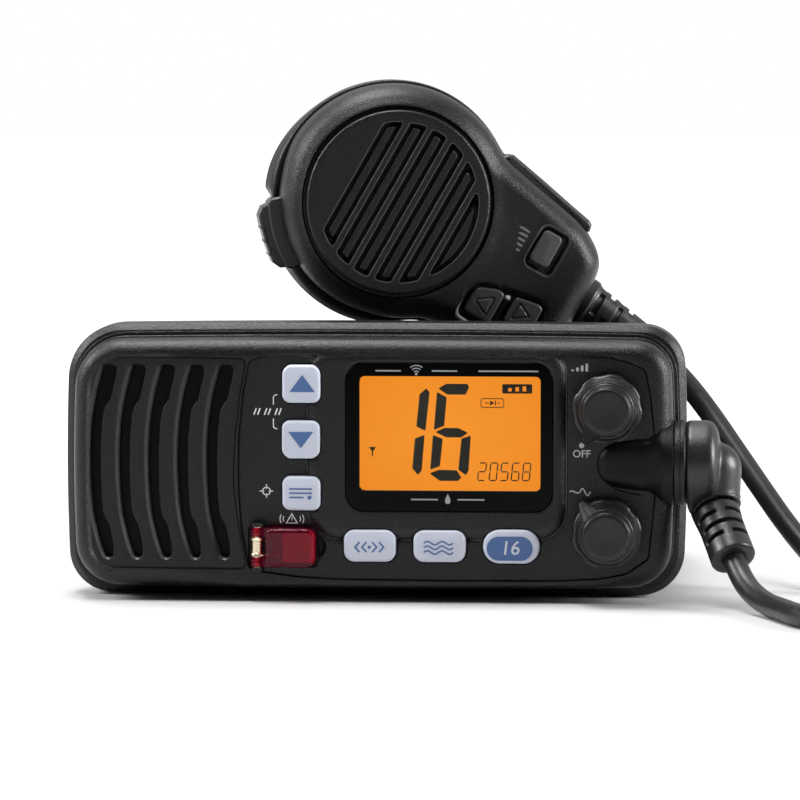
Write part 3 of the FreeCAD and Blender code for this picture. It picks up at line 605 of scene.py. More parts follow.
def build(name, shape, mats, body, sharp=32, weighted=True, matrix=None, merge=0.0005, recalc=True, bevel=None):
    v = arr(shape.v)
    if matrix is not None:
        v = v @ arr(matrix)[:3, :3].T + arr(matrix)[:3, 3]
    me = bpy.data.meshes.new(name)
    me.from_pydata([tuple(q) for q in v * MM], [], shape.f)
    for p, k in zip(me.polygons, shape.m):
        p.material_index = k
    for k in (mats if isinstance(mats, (list, tuple)) else [mats]):
        me.materials.append(k)
    bm = bmesh.new()
    bm.from_mesh(me)
    bmesh.ops.remove_doubles(bm, verts=bm.verts, dist=merge * MM)
    bmesh.ops.dissolve_degenerate(bm, edges=bm.edges, dist=1e-8)
    if recalc:
        bmesh.ops.recalc_face_normals(bm, faces=bm.faces)
    for fc in bm.faces:
        fc.smooth = True
    bm.to_mesh(me)
    bm.free()
    me.set_sharp_from_angle(angle=math.radians(sharp))
    o = bpy.data.objects.new(name, me)
    bpy.context.scene.collection.objects.link(o)
    if weighted:
        w = o.modifiers.new("normals", "WEIGHTED_NORMAL")
        w.mode, w.weight, w.keep_sharp = "FACE_AREA", 80, True
    if body:
        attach(o, body)
    return o


def on_face(loop, y):
    """(x, z) points put at depth y."""
    y = np.broadcast_to(arr(y), (len(loop),))
    return np.stack([loop[:, 0], y, loop[:, 1]], 1)


def px(x, y):
    """A point of the front, from the camera's frame to (x, z)."""
    return ((x - 371.5) * 0.2445, 34 + (465 - y) * 0.2445)


def pxs(pts):
    return arr([px(*p) for p in pts])


def slab(name, loop, y0, y1, r, mat, body, n=4, crown=0.0, back=True, matrix=None, sharp=32):
    """A rounded-edge plate: loop at y0 (front) to y1 (back), front edge rounded by r, front crowned."""
    s = Shape()
    rings = [on_face(loop, y1), on_face(loop, y0 + r)]
    for k in range(1, n + 1):
        a = math.pi / 2 * k / n
        rings.append(on_face(offset(loop, r * (1 - math.cos(a))), y0 + r * (1 - math.sin(a))))
    top = offset(loop, r)
    cen = top.mean(0)
    for t, c in ((0.72, 0.5), (0.4, 0.84), (0.12, 1.0)):
        if crown:
            rings.append(on_face(cen + (top - cen) * t, y0 - crown * c))
    s.rings(rings, cap0=back, cap1=True)
    return build(name, s, mat, body, matrix=matrix, sharp=sharp)


def lathe(name, profile, mat, body, axis_at, direction, slot=None, seg=64, sharp=32, shape=None, cap=True):
    """profile is (distance along, radius) pairs."""
    s = shape or Shape()
    d = Vector(direction).normalized()
    u = d.orthogonal().normalized()
    w = d.cross(u)
    c = Vector(axis_at)
    rings = []
    for t, r in profile:
        rings.append([c + d * t + (u * math.cos(2 * math.pi * k / seg) + w * math.sin(2 * math.pi * k / seg)) * r for k in range(seg)])
    s.rings(rings, cap0=cap, cap1=cap)
    return s if shape is not None else build(name, s, mat, body, sharp=sharp)


def tube_mesh(name, pts, radius, mat, body=None, seg=20, caps=True):
    """A round tube through points that lie close together. radius is a number or one per point."""
    p = arr(pts)
    n = len(p)
    rad = np.broadcast_to(arr(radius), (n,))
    t = np.gradient(p, axis=0)
    t /= np.linalg.norm(t, axis=1, keepdims=True)
    u = np.cross(t[0], [0, 0, 1.0])
    if np.linalg.norm(u) < 1e-3:
        u = np.cross(t[0], [0, 1.0, 0])
    u /= np.linalg.norm(u)
    s = Shape()
    rings = []
    ang = np.linspace(0, 2 * math.pi, seg, endpoint=False)
    for i in range(n):
        u = u - t[i] * (u @ t[i])
        u /= np.linalg.norm(u)
        w = np.cross(t[i], u)
        rings.append(p[i] + rad[i] * (np.cos(ang)[:, None] * u + np.sin(ang)[:, None] * w))
    s.rings(rings, cap0=caps, cap1=caps)
    return build(name, s, mat, body, sharp=50, weighted=False)


def panel_mark(name, shape, mat, body="radio", matrix=None):
    return build(name, shape, mat, body, weighted=False, matrix=matrix, sharp=60)


def flat_mark(shape, loop, y, t=0.03):
    """Adds a printed mark: a thin slab whose face is at y."""
    loop = ccw(arr(loop))
    a = shape.points(on_face(loop, y + t))
    b = shape.points(on_face(loop, y))
    shape.bridge(a, b)
    n = len(loop)
    tris = delaunay_2d_cdt([Vector(q) for q in loop], [(i, (i + 1) % n) for i in range(n)], [], 1, 1e-6, False)
    if len(tris[0]) == n:
        order = [b[k[0]] for k in tris[3]] if tris[3] else b
        m = {i: o for i, o in enumerate(order)}
        for f in tris[2]:
            shape.face([m[i] for i in f])
    else:
        shape.face(b)


def text_mark(body_text, x, z, height, y, mat, name, body="radio", bold=0.0, slant=0.0, align="CENTER", matrix=None, width=1.0, rot=0.0, t=0.04):
    """Plain figures printed on the front, height in mm, middle at (x, z)."""
    c = bpy.data.curves.new(name, "FONT")
    c.body, c.align_x, c.align_y = body_text, align, "CENTER"
    c.size = height * MM / 0.70
    c.extrude = t * MM / 2
    c.offset = bold * MM
    c.shear = slant
    c.resolution_u = 4
    o = bpy.data.objects.new(name + "_tmp", c)
    bpy.context.scene.collection.objects.link(o)
    me = bpy.data.meshes.new_from_object(o)
    bpy.data.objects.remove(o)
    v = arr([q.co for q in me.vertices]) / MM
    v[:, 0] *= width
    ca, sa = math.cos(math.radians(rot)), math.sin(math.radians(rot))
    X = v[:, 0] * ca - v[:, 1] * sa
    Z = v[:, 0] * sa + v[:, 1] * ca
    P = np.stack([x + X, y - v[:, 2] + t / 2 * 0, z + Z], 1)
    if matrix is not None:
        P = P @ arr(matrix)[:3, :3].T + arr(matrix)[:3, 3]
    s = Shape()
    ids = s.points(P)
    for f in me.polygons:
        s.face([ids[k] for k in f.vertices])
    bpy.data.meshes.remove(me)
    return build(name, s, mat, body, weighted=False, sharp=60, merge=0.0001)


def hide_under(o, *nodes):
    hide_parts(*nodes)
    return o

# ------------------------------------------------------------------ front panel
Y_RIM, Y_FACE, Y_IN, Y_JOIN = -62.0, -61.2, -58.9, -49.0
ZC = 34.0


def bowed(w, h, bx, bz, rc, n=10, m=22):
    """Outline with four slightly bowed sides and rounded corners."""
    x, z = w / 2, h / 2

    def arc(p, q, r, k):
        """Points on the circle through p, q (middle) and r."""
        (x1, y1), (x2, y2), (x3, y3) = p, q, r
        a = x1 * (y2 - y3) - y1 * (x2 - x3) + x2 * y3 - x3 * y2
        b = (x1 ** 2 + y1 ** 2) * (y3 - y2) + (x2 ** 2 + y2 ** 2) * (y1 - y3) + (x3 ** 2 + y3 ** 2) * (y2 - y1)
        c = (x1 ** 2 + y1 ** 2) * (x2 - x3) + (x2 ** 2 + y2 ** 2) * (x3 - x1) + (x3 ** 2 + y3 ** 2) * (x1 - x2)
        cx, cy = -b / 2 / a, -c / 2 / a
        R = math.hypot(x1 - cx, y1 - cy)
        a0, a1 = math.atan2(y1 - cy, x1 - cx), math.atan2(y3 - cy, x3 - cx)
        d = (a1 - a0 + math.pi) % (2 * math.pi) - math.pi
        return [(cx + R * math.cos(a0 + d * i / k), cy + R * math.sin(a0 + d * i / k)) for i in range(k)]

    c = [(-x + bx, ZC - z + bz), (x - bx, ZC - z + bz), (x - bx, ZC + z - bz), (-x + bx, ZC + z - bz)]
    md = [(0, ZC - z), (x, ZC), (0, ZC + z), (-x, ZC)]
    raw = []
    for i in range(4):
        raw += arc(c[i], md[i], c[(i + 1) % 4], 60)
    raw = arr(raw)
    # corners: rounded by rc further down
    out = []
    for i, (cx, cz) in enumerate(((-x + bx, ZC - z + bz), (x - bx, ZC - z + bz), (x - bx, ZC + z - bz), (-x + bx, ZC + z - bz))):
        pass
    P = raw
    keep = np.ones(len(P), bool)
    res = []
    N = len(P)
    d = np.linalg.norm(np.roll(P, -1, 0) - P, axis=1)
    cum = np.concatenate([[0], np.cumsum(d)])
    corner_s = [cum[0], cum[60], cum[120], cum[180]]
    total = cum[-1]
    loop = np.vstack([P, P[:1]])

    def at(s):
        s = s % total
        return arr([np.interp(s, cum, loop[:, 0]), np.interp(s, cum, loop[:, 1])])

    rcs = rc if isinstance(rc, (list, tuple)) else [rc] * 4
    for i in range(4):
        ra, rc = rcs[i], rcs[(i + 1) % 4]
        s0 = corner_s[i]
        s1 = corner_s[(i + 1) % 4] if i < 3 else total
        # straight part between the two roundings
        for q in np.linspace(s0 + ra, s1 - rc, m):
            res.append(at(q))
        cpt = at(s1)
        a, b = at(s1 - rc), at(s1 + rc)
        ua, ub = (a - cpt) / np.linalg.norm(a - cpt), (b - cpt) / np.linalg.norm(b - cpt)
        ang = math.acos(float(ua @ ub))
        r = rc * math.tan(ang / 2)
        cen = cpt + (ua + ub) / np.linalg.norm(ua + ub) * (r / math.sin(ang / 2))
        a0, a1 = math.atan2(*(a - cen)[::-1]), math.atan2(*(b - cen)[::-1])
        dd = (a1 - a0 + math.pi) % (2 * math.pi) - math.pi
        for k in range(1, n):
            t = a0 + dd * k / n
            res.append(cen + r * arr([math.cos(t), math.sin(t)]))
    return ccw(arr(res))


FRONT = bowed(147.6, 61.6, 1.0, 0.7, (10.0, 9.5, 8.2, 11.0))
speaker_out = ccw(rounded(pxs([(71.5, 380), (80, 357.5), (160, 357), (246.5, 358.5), (240.5, 391), (235.2, 437), (233.6, 463), (233.6, 490), (237, 520), (246.5, 571.8), (160, 571.5), (84, 571), (72.5, 548), (68.4, 463)]),
                          [9, 7, 0, 1.6, 8, 0, 0, 0, 8, 1.4, 0, 7, 8, 40], 6))
control_out = ccw(rounded(pxs([(247.5, 361.5), (266, 354.8), (288, 350.8), (310, 348.2), (345, 347.4), (450, 346.8), (553, 348.4), (590, 352.4), (627, 360.4), (645.5, 368.4), (651, 395), (655.5, 437.5), (655.5, 500),
                               (652.9, 527), (649.3, 559), (627, 574.5), (600, 579.6), (560, 581.8), (450, 582.4), (336, 581.6), (298, 579.4), (259, 574.2), (247, 570.6), (239.5, 530), (236.6, 490), (236.8, 440), (241.5, 393)]),
                          [1.8, 6, 8, 10, 20, 0, 14, 10, 8, 1.6, 14, 1.2, 1.2, 10, 1.8, 5, 10, 20, 0, 20, 10, 6, 1.6, 14, 20, 20, 14], 5))
surround = ccw(rounded([px(306.5, 349.6), px(566.4, 349.6), px(566.4, 540.6), px(306.5, 540.6)], [6.2, 5.6, 7.6, 8.0], 12))
LENS = (19.0, 40.9, 50.8, 36.6, 4.6)
lens_hole = rrect(LENS[0], LENS[1], LENS[2] + 0.24, LENS[3] + 0.24, LENS[4] + 0.12, 9)
KEYS = {
    "key_channel_up": (-17.2, 53.7, 9.4, 9.2, 2.0), "key_channel_down": (-17.3, 40.2, 9.4, 9.2, 2.0), "key_menu": (-17.2, 26.9, 9.4, 8.4, 2.0),
    "key_scan": (-0.4, 14.1, 12.8, 7.9, 2.6), "key_dual": (16.7, 14.1, 12.8, 7.9, 2.6), "key_sixteen": (34.3, 14.1, 13.9, 8.4, 4.1),
}
VOL, SQL = (57.7, 48.1), (57.7, 17.6)


def key_loop(n, grow=0.0, k=7):
    """Outline of a key. The two arrow keys have one crowned side."""
    x, z, w, h, r = KEYS[n]
    lp = rrect(x, z, w + 2 * grow, h + 2 * grow, r + grow, k)
    if n in ("key_channel_up", "key_channel_down"):
        s = 1 if n == "key_channel_up" else -1
        t = (lp[:, 1] - z) * s / (h / 2 + grow)
        bow = 0.75 * (1 - ((lp[:, 0] - x) / (w / 2 + grow)) ** 2)
        lp[:, 1] += s * np.where(t > 0, bow * np.clip(t, 0, 1), 0) - s * 0.35 * np.clip(t, 0, 1)
    return lp


key_holes = {n: densify(key_loop(n, 0.22), 1.2) for n in KEYS}
help_hole = rrect(-18.2, 13.7, 6.5, 7.3, 1.2, 4)
shaft_holes = [circle(*VOL, 3.6, 32), circle(*SQL, 3.6, 32)]
pocket = rrect(-21.85, 13.7, 17.3, 10.5, 1.2, 5)
notch = circle(-14.1, 13.6, 2.9, 40)
# speaker slots
SLOT0 = pxs([(114.9, 369.6), (113.6, 380), (111.0, 391), (108.0, 402.5), (101.9, 412.5), (99.6, 430), (98.6, 448.6), (98.4, 470), (99.0, 494), (101.0, 515.5), (106.6, 527), (109.6, 540), (111.2, 552), (110.6, 559.6),
             (107, 562.4), (101, 562.0), (97.4, 558.0), (92.4, 544), (88.0, 526), (85.2, 508), (83.4, 484), (82.8, 460), (83.6, 436), (86.2, 411), (90.6, 388), (96.6, 370.4), (100.6, 366.2), (106, 365.2), (112.4, 366.0)])
slot0 = ccw(resample(smooth_loop(rounded(SLOT0[:], 0.0), 4), 150))
PITCH = 29.42 * 0.2445


def slot_loops(i):
    o = slot0 + arr([PITCH * i, 0])
    # the left edge has a wide bevel, the right a narrow one
    if i == 4:
        q_ = sdf(o, speaker_out)
        o = o + np.clip(q_ + 0.75, 0, None)[:, None] * arr([-0.8, -0.6])
    n = offset(o, 1.0) - o
    left = np.clip(-n[:, 0] * -1, 0, 1)
    w = 0.22 + 0.98 * np.clip(n[:, 0], 0, 1) + 0.55 * np.clip(n[:, 1], 0, 1) ** 2
    inner = o + n * w[:, None]
    return o, inner


slots = [slot_loops(i) for i in range(5)]
neck_out = ccw(rounded(pxs([(668, 442.5), (640, 441.5), (618, 443.5), (602.5, 453), (597.0, 465), (602.5, 478), (618, 489.5), (640, 493.5), (668, 493.8)]), [0, 6, 6, 4, 3, 4, 6, 6, 0], 6))
neck_clip = neck_out[neck_out[:, 0] < 70.0]


def surround_height(P):
    a = -sdf(P, surround)
    b = np.maximum(sdf(P, lens_hole), 0)
    t = np.clip(a / np.minimum(2.9, np.maximum(a + b, 1e-6)), 0, 1)
    rise = 1.25 * (1 - (1 - t) ** 2.1)
    h = np.where(a > 0, rise, 0)
    groove = 0.32 * np.exp(-(a / 0.24) ** 2)
    return h - groove


def front_height(P):
    """Relief of the front above the key face."""
    ds, dc = sdf(P, speaker_out), sdf(P, control_out)
    dm_ = np.minimum(ds, dc)
    h = 0.8 * smoothstep(-0.28, 0.0, dm_) - 0.16 * np.exp(-((dm_ + 0.24) / 0.1) ** 2)
    h = h + np.where(dc < -0.3, surround_height(P), 0)
    for lp in [notch]:
        d = sdf(P, lp)
        h = np.where(d < 0, -1.3 * np.sqrt(np.clip(1 - ((d + 2.9) / 2.9) ** 2, 0, 1)), h)
    return h


cons, holes = [], []
for lp in (speaker_out, control_out):
    lp = densify(lp, 1.3)
    cons += [lp] + [offset(lp, e_) for e_ in (0.07, 0.14, 0.21, 0.28, 0.37)]
sur = densify(surround, 1.6)
holes_keys = list(key_holes.values())


def clip_open(lp, bad):
    """Runs of a closed loop that stay clear of the given holes."""
    ok = np.ones(len(lp), bool)
    for h in bad:
        ok &= sdf(lp, h) > 0.3
    runs, cur = [], []
    n = len(lp)
    start = next((i for i in range(n) if not ok[i]), 0)
    for k in range(n + 1):
        i = (start + k) % n
        if ok[i] and k < n:
            cur.append(i)
        else:
            if len(cur) > 1:
                runs.append(lp[cur])
            cur = []
    return runs


open_cons = []
for d in (-0.42, -0.24, -0.12, 0.0, 0.12, 0.24, 0.42, 0.75, 1.1, 1.5, 1.9, 2.35, 2.9):
    open_cons += clip_open(offset(sur, d), holes_keys + [pocket])
for n, h in key_holes.items():
    cons.append(offset(h, -0.22))
for h in shaft_holes:
    cons.append(circle(*h.mean(0), 6.0, 40))
holes = holes_keys + [lens_hole, help_hole] + shaft_holes + [o for o, i in slots]
cons.append(offset(lens_hole, -0.3))
# width of the rounded rim, seen from the front: narrow along the bottom
n_in = offset(FRONT, 1.0) - FRONT
ROLL_W = 4.2 - 2.75 * smoothstep(0.80, 0.985, n_in[:, 1]) * smoothstep(-52.0, -30.0, FRONT[:, 0]) * (1 - smoothstep(56.0, 66.0, FRONT[:, 0]))
land = FRONT + n_in * ROLL_W[:, None]
P0 = Shape()
pts, edges = [], []


def add_loop(lp, closed=True):
    k, n = len(pts), len(lp)
    pts.extend([tuple(q) for q in lp])
    edges.extend([(k + i, k + (i + 1) % n) for i in range(n if closed else n - 1)])


pocket_wall = offset(pocket, 0.12)
notch_in = [circle(-14.1, 13.6, r, 40) for r in (2.9, 2.6, 2.0)]
notch_in = [c[sdf(c, pocket) > 0.05] for c in notch_in]
add_loop(land)
for h in holes:
    add_loop(h)
for c in cons:
    add_loop(c)
for c in open_cons:
    add_loop(c, False)
for c in notch_in:
    add_loop(c, False)
add_loop(pocket)
grid = 1.5
lo_, hi_ = land.min(0), land.max(0)
gx, gz = np.meshgrid(np.arange(lo_[0] + 0.7, hi_[0], grid), np.arange(lo_[1] + 0.7, hi_[1], grid))
g = np.stack([gx.ravel(), gz.ravel()], 1)
ok = sdf(g, land) < -0.4
for h in holes + [pocket]:
    ok &= sdf(g, h) > 0.3
for c in cons:
    ok &= np.abs(sdf(g, c)) > 0.35
qs_ = sdf(g, sur)
ok &= (qs_ > 0.7) | (qs_ < -3.2)
pts.extend([tuple(q) for q in g[ok]])
cd = delaunay_2d_cdt([Vector(q) for q in pts], edges, [], 0, 1e-5, False)
V2 = arr([(q[0], q[1]) for q in cd[0]])
F2 = np.array([t for t in cd[2] if len(t) == 3], int)
cen = V2[F2].mean(1)
good = sdf(cen, land) < 0
for h in holes + [pocket]:
    good &= sdf(cen, h) > 0
F2 = F2[good]
H = front_height(V2)
# a soft break on the edges of the key holes
for h in holes_keys:
    d = sdf(V2, h)
    H -= 0.2 * (1 - smoothstep(0.0, 0.22, d)) * (d > -0.01)
dl = sdf(V2, lens_hole)
H -= 0.12 * (1 - smoothstep(0.0, 0.3, dl)) * (dl > -0.01)
for o_, i_ in slots:
    pass
P0.v = [tuple(q) for q in on_face(V2, Y_FACE - H)]
# faces in the narrow groove just inside the edges of the speaker and control fields take the near-black recess colour:
# painted shade in the groove
cq_ = V2[F2].mean(1)
gq_ = np.minimum(sdf(cq_, speaker_out), sdf(cq_, control_out))
inside_ = sdf(cq_, land)
for t, q_, e_ in zip(F2, gq_, inside_):
    P0.face([int(k) for k in t], 1 if -0.30 < q_ < -0.0 and e_ < -0.3 else 0)
print("control field inside the land by", round(float(-sdf(control_out, land).max()), 2), "speaker field", round(float(-sdf(speaker_out, land).max()), 2))

# walls of the holes, down to the inside of the wall
bm_pts = {}


def wall(loop_ids, rings):
    prev = loop_ids
    for r in rings:
        nxt = P0.points(r)
        P0.bridge(prev, nxt)
        prev = nxt
    return prev


def ids_of(loop):
    """Vertices of the relief that lie on a hole's outline, in order."""
    d = np.abs(sdf(V2, loop)) < 2e-4
    idx = np.where(d)[0]
    A = loop
    seg = np.roll(A, -1, 0) - A
    L = np.linalg.norm(seg, axis=1)
    cum = np.concatenate([[0], np.cumsum(L)])
    s = []
    for i in idx:
        w = V2[i] - A
        t = np.clip((w * seg).sum(1) / (L ** 2), 0, 1)
        dist = np.linalg.norm(w - seg * t[:, None], axis=1)
        k = int(dist.argmin())
        s.append(cum[k] + t[k] * L[k])
    order = np.argsort(s)
    return [int(idx[k]) for k in order]


inner_rims = []
for h in holes_keys + [lens_hole, help_hole] + shaft_holes:
    ids = ids_of(h)
    q = V2[ids]
    inner_rims.append(wall(ids, [on_face(q, Y_IN)]))
for (o_, i_) in slots:
    ids = ids_of(o_)
    q = V2[ids]
    # inner outline of the bevel, matched point by point
    d = np.linalg.norm(q[:, None] - o_[None], axis=2).argmin(1)
    qi = q + (i_ - o_)[d]
    mid = q + (qi - q) * 0.45
    m1, m2 = q + (qi - q) * 0.30, q + (qi - q) * 0.72
    k0_ = len(P0.m)
    inner_rims.append(wall(ids, [on_face(m1, Y_FACE + 0.22), on_face(m2, Y_FACE + 0.62), on_face(qi, Y_FACE + 1.0), on_face(qi, Y_IN)]))
    nn_ = (i_ - o_)[d]
    nn_ = nn_ / np.maximum(np.linalg.norm(nn_, axis=1, keepdims=True), 1e-9)
    # walls on a slot's right edge (facing left) and bottom end (facing up) take the lighter edge black, and the wide
    # bevel on its left edge, facing right, the lighter bevel black: painted highlights
    for j_ in range(len(ids)):
        bright = nn_[j_][0] < -0.35, nn_[j_][1] > 0.45
        if bright[0] or bright[1]:
            P0.m[k0_ + j_] = 2
        if bright[1]:
            P0.m[k0_ + len(ids) + j_] = 2
        if nn_[j_][0] > 0.3 and not bright[1]:
            for r_ in range(3):
                P0.m[k0_ + r_ * len(ids) + j_] = 3
# pocket of the flap, with a floor
ids = ids_of(pocket)
q = V2[ids]
qf = q + (q.mean(0) - q) * 0.012
pf = wall(ids, [on_face(qf, Y_FACE + 1.2)])
fl_pts = [tuple(k) for k in qf]
n0 = len(fl_pts)
e0 = [(i, (i + 1) % n0) for i in range(n0)]
hid = ids_of(help_hole)
if not hid:
    hl = help_hole
    n1 = len(hl)
    fl_pts += [tuple(k) for k in hl]
    e0 += [(n0 + i, n0 + (i + 1) % n1) for i in range(n1)]
    cdp = delaunay_2d_cdt([Vector(k) for k in fl_pts], e0, [], 0, 1e-6, False)
    vv = arr([(k[0], k[1]) for k in cdp[0]])
    tt = np.array([t for t in cdp[2]], int)
    cc = vv[tt].mean(1)
    gd = (sdf(cc, qf) < 0) & (sdf(cc, hl) > 0)
    base = P0.points(on_face(vv, Y_FACE + 1.2))
    for t in tt[gd]:
        P0.face([base[int(k)] for k in t])
    a = P0.points(on_face(hl, Y_FACE + 1.2))
    b = P0.points(on_face(hl, Y_IN))
    P0.bridge(a, b)
    inner_rims = [r for r in inner_rims if len(r)]
    inner_rims.append(b)

# rounded outer edge, side, and the inside of the shell
land_ids = ids_of(land)
q = V2[land_ids]
near = np.linalg.norm(q[:, None] - land[None], axis=2).argmin(1)
rings = []
steps = 8
for k in range(1, steps + 1):
    a = math.pi / 2 * k / steps
    lp = (FRONT + n_in * (ROLL_W * (1 - math.sin(a)))[:, None])[near]
    # a fuller round than a quarter circle, so that the rim reads as one soft roll
    rings.append(on_face(lp, Y_RIM + 4.2 * (1 - math.cos(a))))
side = FRONT[near]
for d_, y_ in ((0, -54.0), (0, -52.3), (0.5, -52.0), (0.5, -51.6), (-0.25, -51.4), (-0.45, -51.15), (-0.45, -50.6), (-0.2, -50.4), (0.35, -50.3), (0.35, -49.95), (-1.0, -49.85), (-1.3, -49.6), (-1.3, -48.9), (-1.15, -48.5)):
    rings.append(on_face(offset(FRONT, d_)[near], y_))
wall(land_ids, rings)
ring_back = on_face(offset(FRONT, 3.5)[near], -48.5)
last = list(range(len(P0.v) - len(near), len(P0.v)))
bk = P0.points(ring_back)
P0.bridge(last, bk)
bi = P0.points(on_face(offset(FRONT, 3.5)[near], Y_IN))
P0.bridge(bk, bi)
# inner face of the wall
pin, ein = [], []
allr = [bi] + [r for r in inner_rims if len(r) > 2]
idmap = []
for r in allr:
    k = len(pin)
    pin += [(P0.v[i][0], P0.v[i][2]) for i in r]
    idmap += r
    ein += [(k + i, k + (i + 1) % len(r)) for i in range(len(r))]
cdi = delaunay_2d_cdt([Vector(k) for k in pin], ein, [], 0, 1e-7, True)
vi = arr([(k[0], k[1]) for k in cdi[0]])
src = [o[0] if len(o) else -1 for o in cdi[3]]
ti = np.array([t for t in cdi[2] if len(t) == 3], int)
ci = vi[ti].mean(1)
gd = sdf(ci, arr([pin[k] for k in range(len(bi))])) < 0
k0 = len(bi)
for r in allr[1:]:
    gd &= sdf(ci, arr(pin[k0:k0 + len(r)])) > 0
    k0 += len(r)
for t in ti[gd]:
    if all(src[int(k)] >= 0 for k in t):
        P0.face([idmap[src[int(k)]] for k in t])
panel = build("front_panel_shell", P0, [BLACK, RECESS_PAINTED_SHADE, BLACK_PAINTED_HIGHLIGHT, BEVEL_PAINTED_HIGHLIGHT], "radio", sharp=40, merge=0.002)
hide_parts("front_panel")
print("panel faces", len(panel.data.polygons))
bm_ = bmesh.new(); bm_.from_mesh(panel.data)
bd_ = [e for e in bm_.edges if len(e.link_faces) != 2]
print("panel open edges", len(bd_), [tuple(round(c * 1000, 2) for c in e.verts[0].co) for e in bd_[:6]])
bm_.free()

# ------------------------------------------------------------------ printed marks
def stroke(points, width, closed=False):
    """A line of the given width as a polygon with square joints."""
    p = arr(points)
    n = len(p)
    L, R = [], []
    for i in range(n):
        a = p[i - 1] if (i > 0 or closed) else None
        b = p[(i + 1) % n] if (i < n - 1 or closed) else None
        t1 = (p[i] - a) / np.linalg.norm(p[i] - a) if a is not None else None
        t2 = (b - p[i]) / np.linalg.norm(b - p[i]) if b is not None else None
        t = t1 if t2 is None else t2 if t1 is None else t1 + t2
        t = t / max(np.linalg.norm(t), 1e-6)
        m = arr([-t[1], t[0]])
        k = 1.0
        if t1 is not None and t2 is not None:
            k = 1 / max(abs(float(m @ arr([-t1[1], t1[0]]))), 0.4)
        L.append(p[i] + m * width / 2 * k)
        R.append(p[i] - m * width / 2 * k)
    return L, R


def line_mark(shape, points, width, y, closed=False, t=0.03):
    """Adds a printed line."""
    L, R = stroke(points, width, closed)
    n = len(L)
    a0, a1 = shape.points(on_face(arr(L), y)), shape.points(on_face(arr(L), y + t))
    b0, b1 = shape.points(on_face(arr(R), y)), shape.points(on_face(arr(R), y + t))
    m = n if closed else n - 1
    for i in range(m):
        j = (i + 1) % n
        shape.face((a0[i], a0[j], b0[j], b0[i]))
        shape.face((a1[j], a1[i], b1[i], b1[j]))
        shape.face((a0[j], a0[i], a1[i], a1[j]))
        shape.face((b0[i], b0[j], b1[j], b1[i]))
    if not closed:
        shape.face((a0[0], b0[0], b1[0], a1[0]))
        shape.face((a0[-1], a1[-1], b1[-1], b0[-1]))


def arc_pts(cx, cz, r, a0, a1, n=16):
    t = np.radians(np.linspace(a0, a1, n))
    return np.stack([cx + r * np.cos(t), cz + r * np.sin(t)], 1)


# ------------------------------------------------------------------ flange behind the front, as a moulded frame
FLANGE = bowed(154.0, 68.0, 1.0, 0.7, (10.0, 10.5, 9.8, 13.0), n=14, m=26)
s = Shape()
prof = [(-46.3, 0.0), (-46.55, 0.06), (-46.75, 0.22), (-47.3, 0.78), (-47.9, 1.42), (-48.1, 1.68), (-48.2, 2.05), (-48.2, 2.75), (-47.9, 2.95), (-47.9, 3.3), (-48.2, 3.5), (-48.2, 5.2), (-46.0, 5.2)]
back = [(-46.0, 0.0), (-41.4, 0.0), (-41.2, 0.28), (-40.8, 0.28), (-40.6, 0.0), (-37.2, 0.0), (-36.7, 0.25), (-36.3, 0.7), (-36.05, 1.4), (-36.0, 2.2), (-36.0, 4.0)]
rings = [on_face(offset(FLANGE, d_), y_) for y_, d_ in reversed(prof)] + [on_face(offset(FLANGE, d_), y_) for y_, d_ in back]
s.rings(rings)
# the wall across the back, open where the chassis comes through
FL_IN = offset(FLANGE, 4.0)
FL_HOLE = densify(rrect(0, 27, 122, 41, 4, 8), 3.0)
vv, ff = plate([], FL_IN, [FL_HOLE], None, grid=5.0, margin=1.0)
for y_ in (-36.0, -38.5):
    ids = s.points(on_face(vv, y_))
    for f_ in ff:
        s.face([ids[k] for k in f_])
a = s.points(on_face(FL_HOLE, -36.0)); b = s.points(on_face(FL_HOLE, -38.5))
s.bridge(a, b)
a = s.points(on_face(FL_IN, -38.5)); b = s.points(rings[0])
s.bridge(a, b)
flange = build("flange_frame_shell", s, BLACK, "radio", sharp=38, merge=0.002)
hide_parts("flange_frame")
# a fine raised edge where the display surround begins, in the lighter edge black: a painted highlight
s = Shape()
for run in clip_open(densify(surround, 0.8), holes_keys + [pocket]):
    if len(run) < 4:
        continue
    c3 = on_face(run, Y_FACE - 0.02)
    t_ = np.gradient(c3, axis=0); t_ /= np.linalg.norm(t_, axis=1, keepdims=True)
    n_ = np.cross(t_, [0, -1.0, 0])
    ring_ids = []
    for a_ in (0, 60, 120, 180):
        ring_ids.append(s.points(c3 + n_ * 0.13 * math.cos(math.radians(a_)) + arr([0, -1, 0]) * 0.09 * math.sin(math.radians(a_))))
    for u_, w_ in zip(ring_ids[:-1], ring_ids[1:]):
        s.bridge(u_, w_, False)
    s.bridge(ring_ids[-1], ring_ids[0], False)
    s.face([r_[0] for r_ in ring_ids]); s.face([r_[-1] for r_ in ring_ids][::-1])
build("surround_edge_highlight_line", s, BLACK_PAINTED_HIGHLIGHT, "radio", sharp=80, weighted=False)

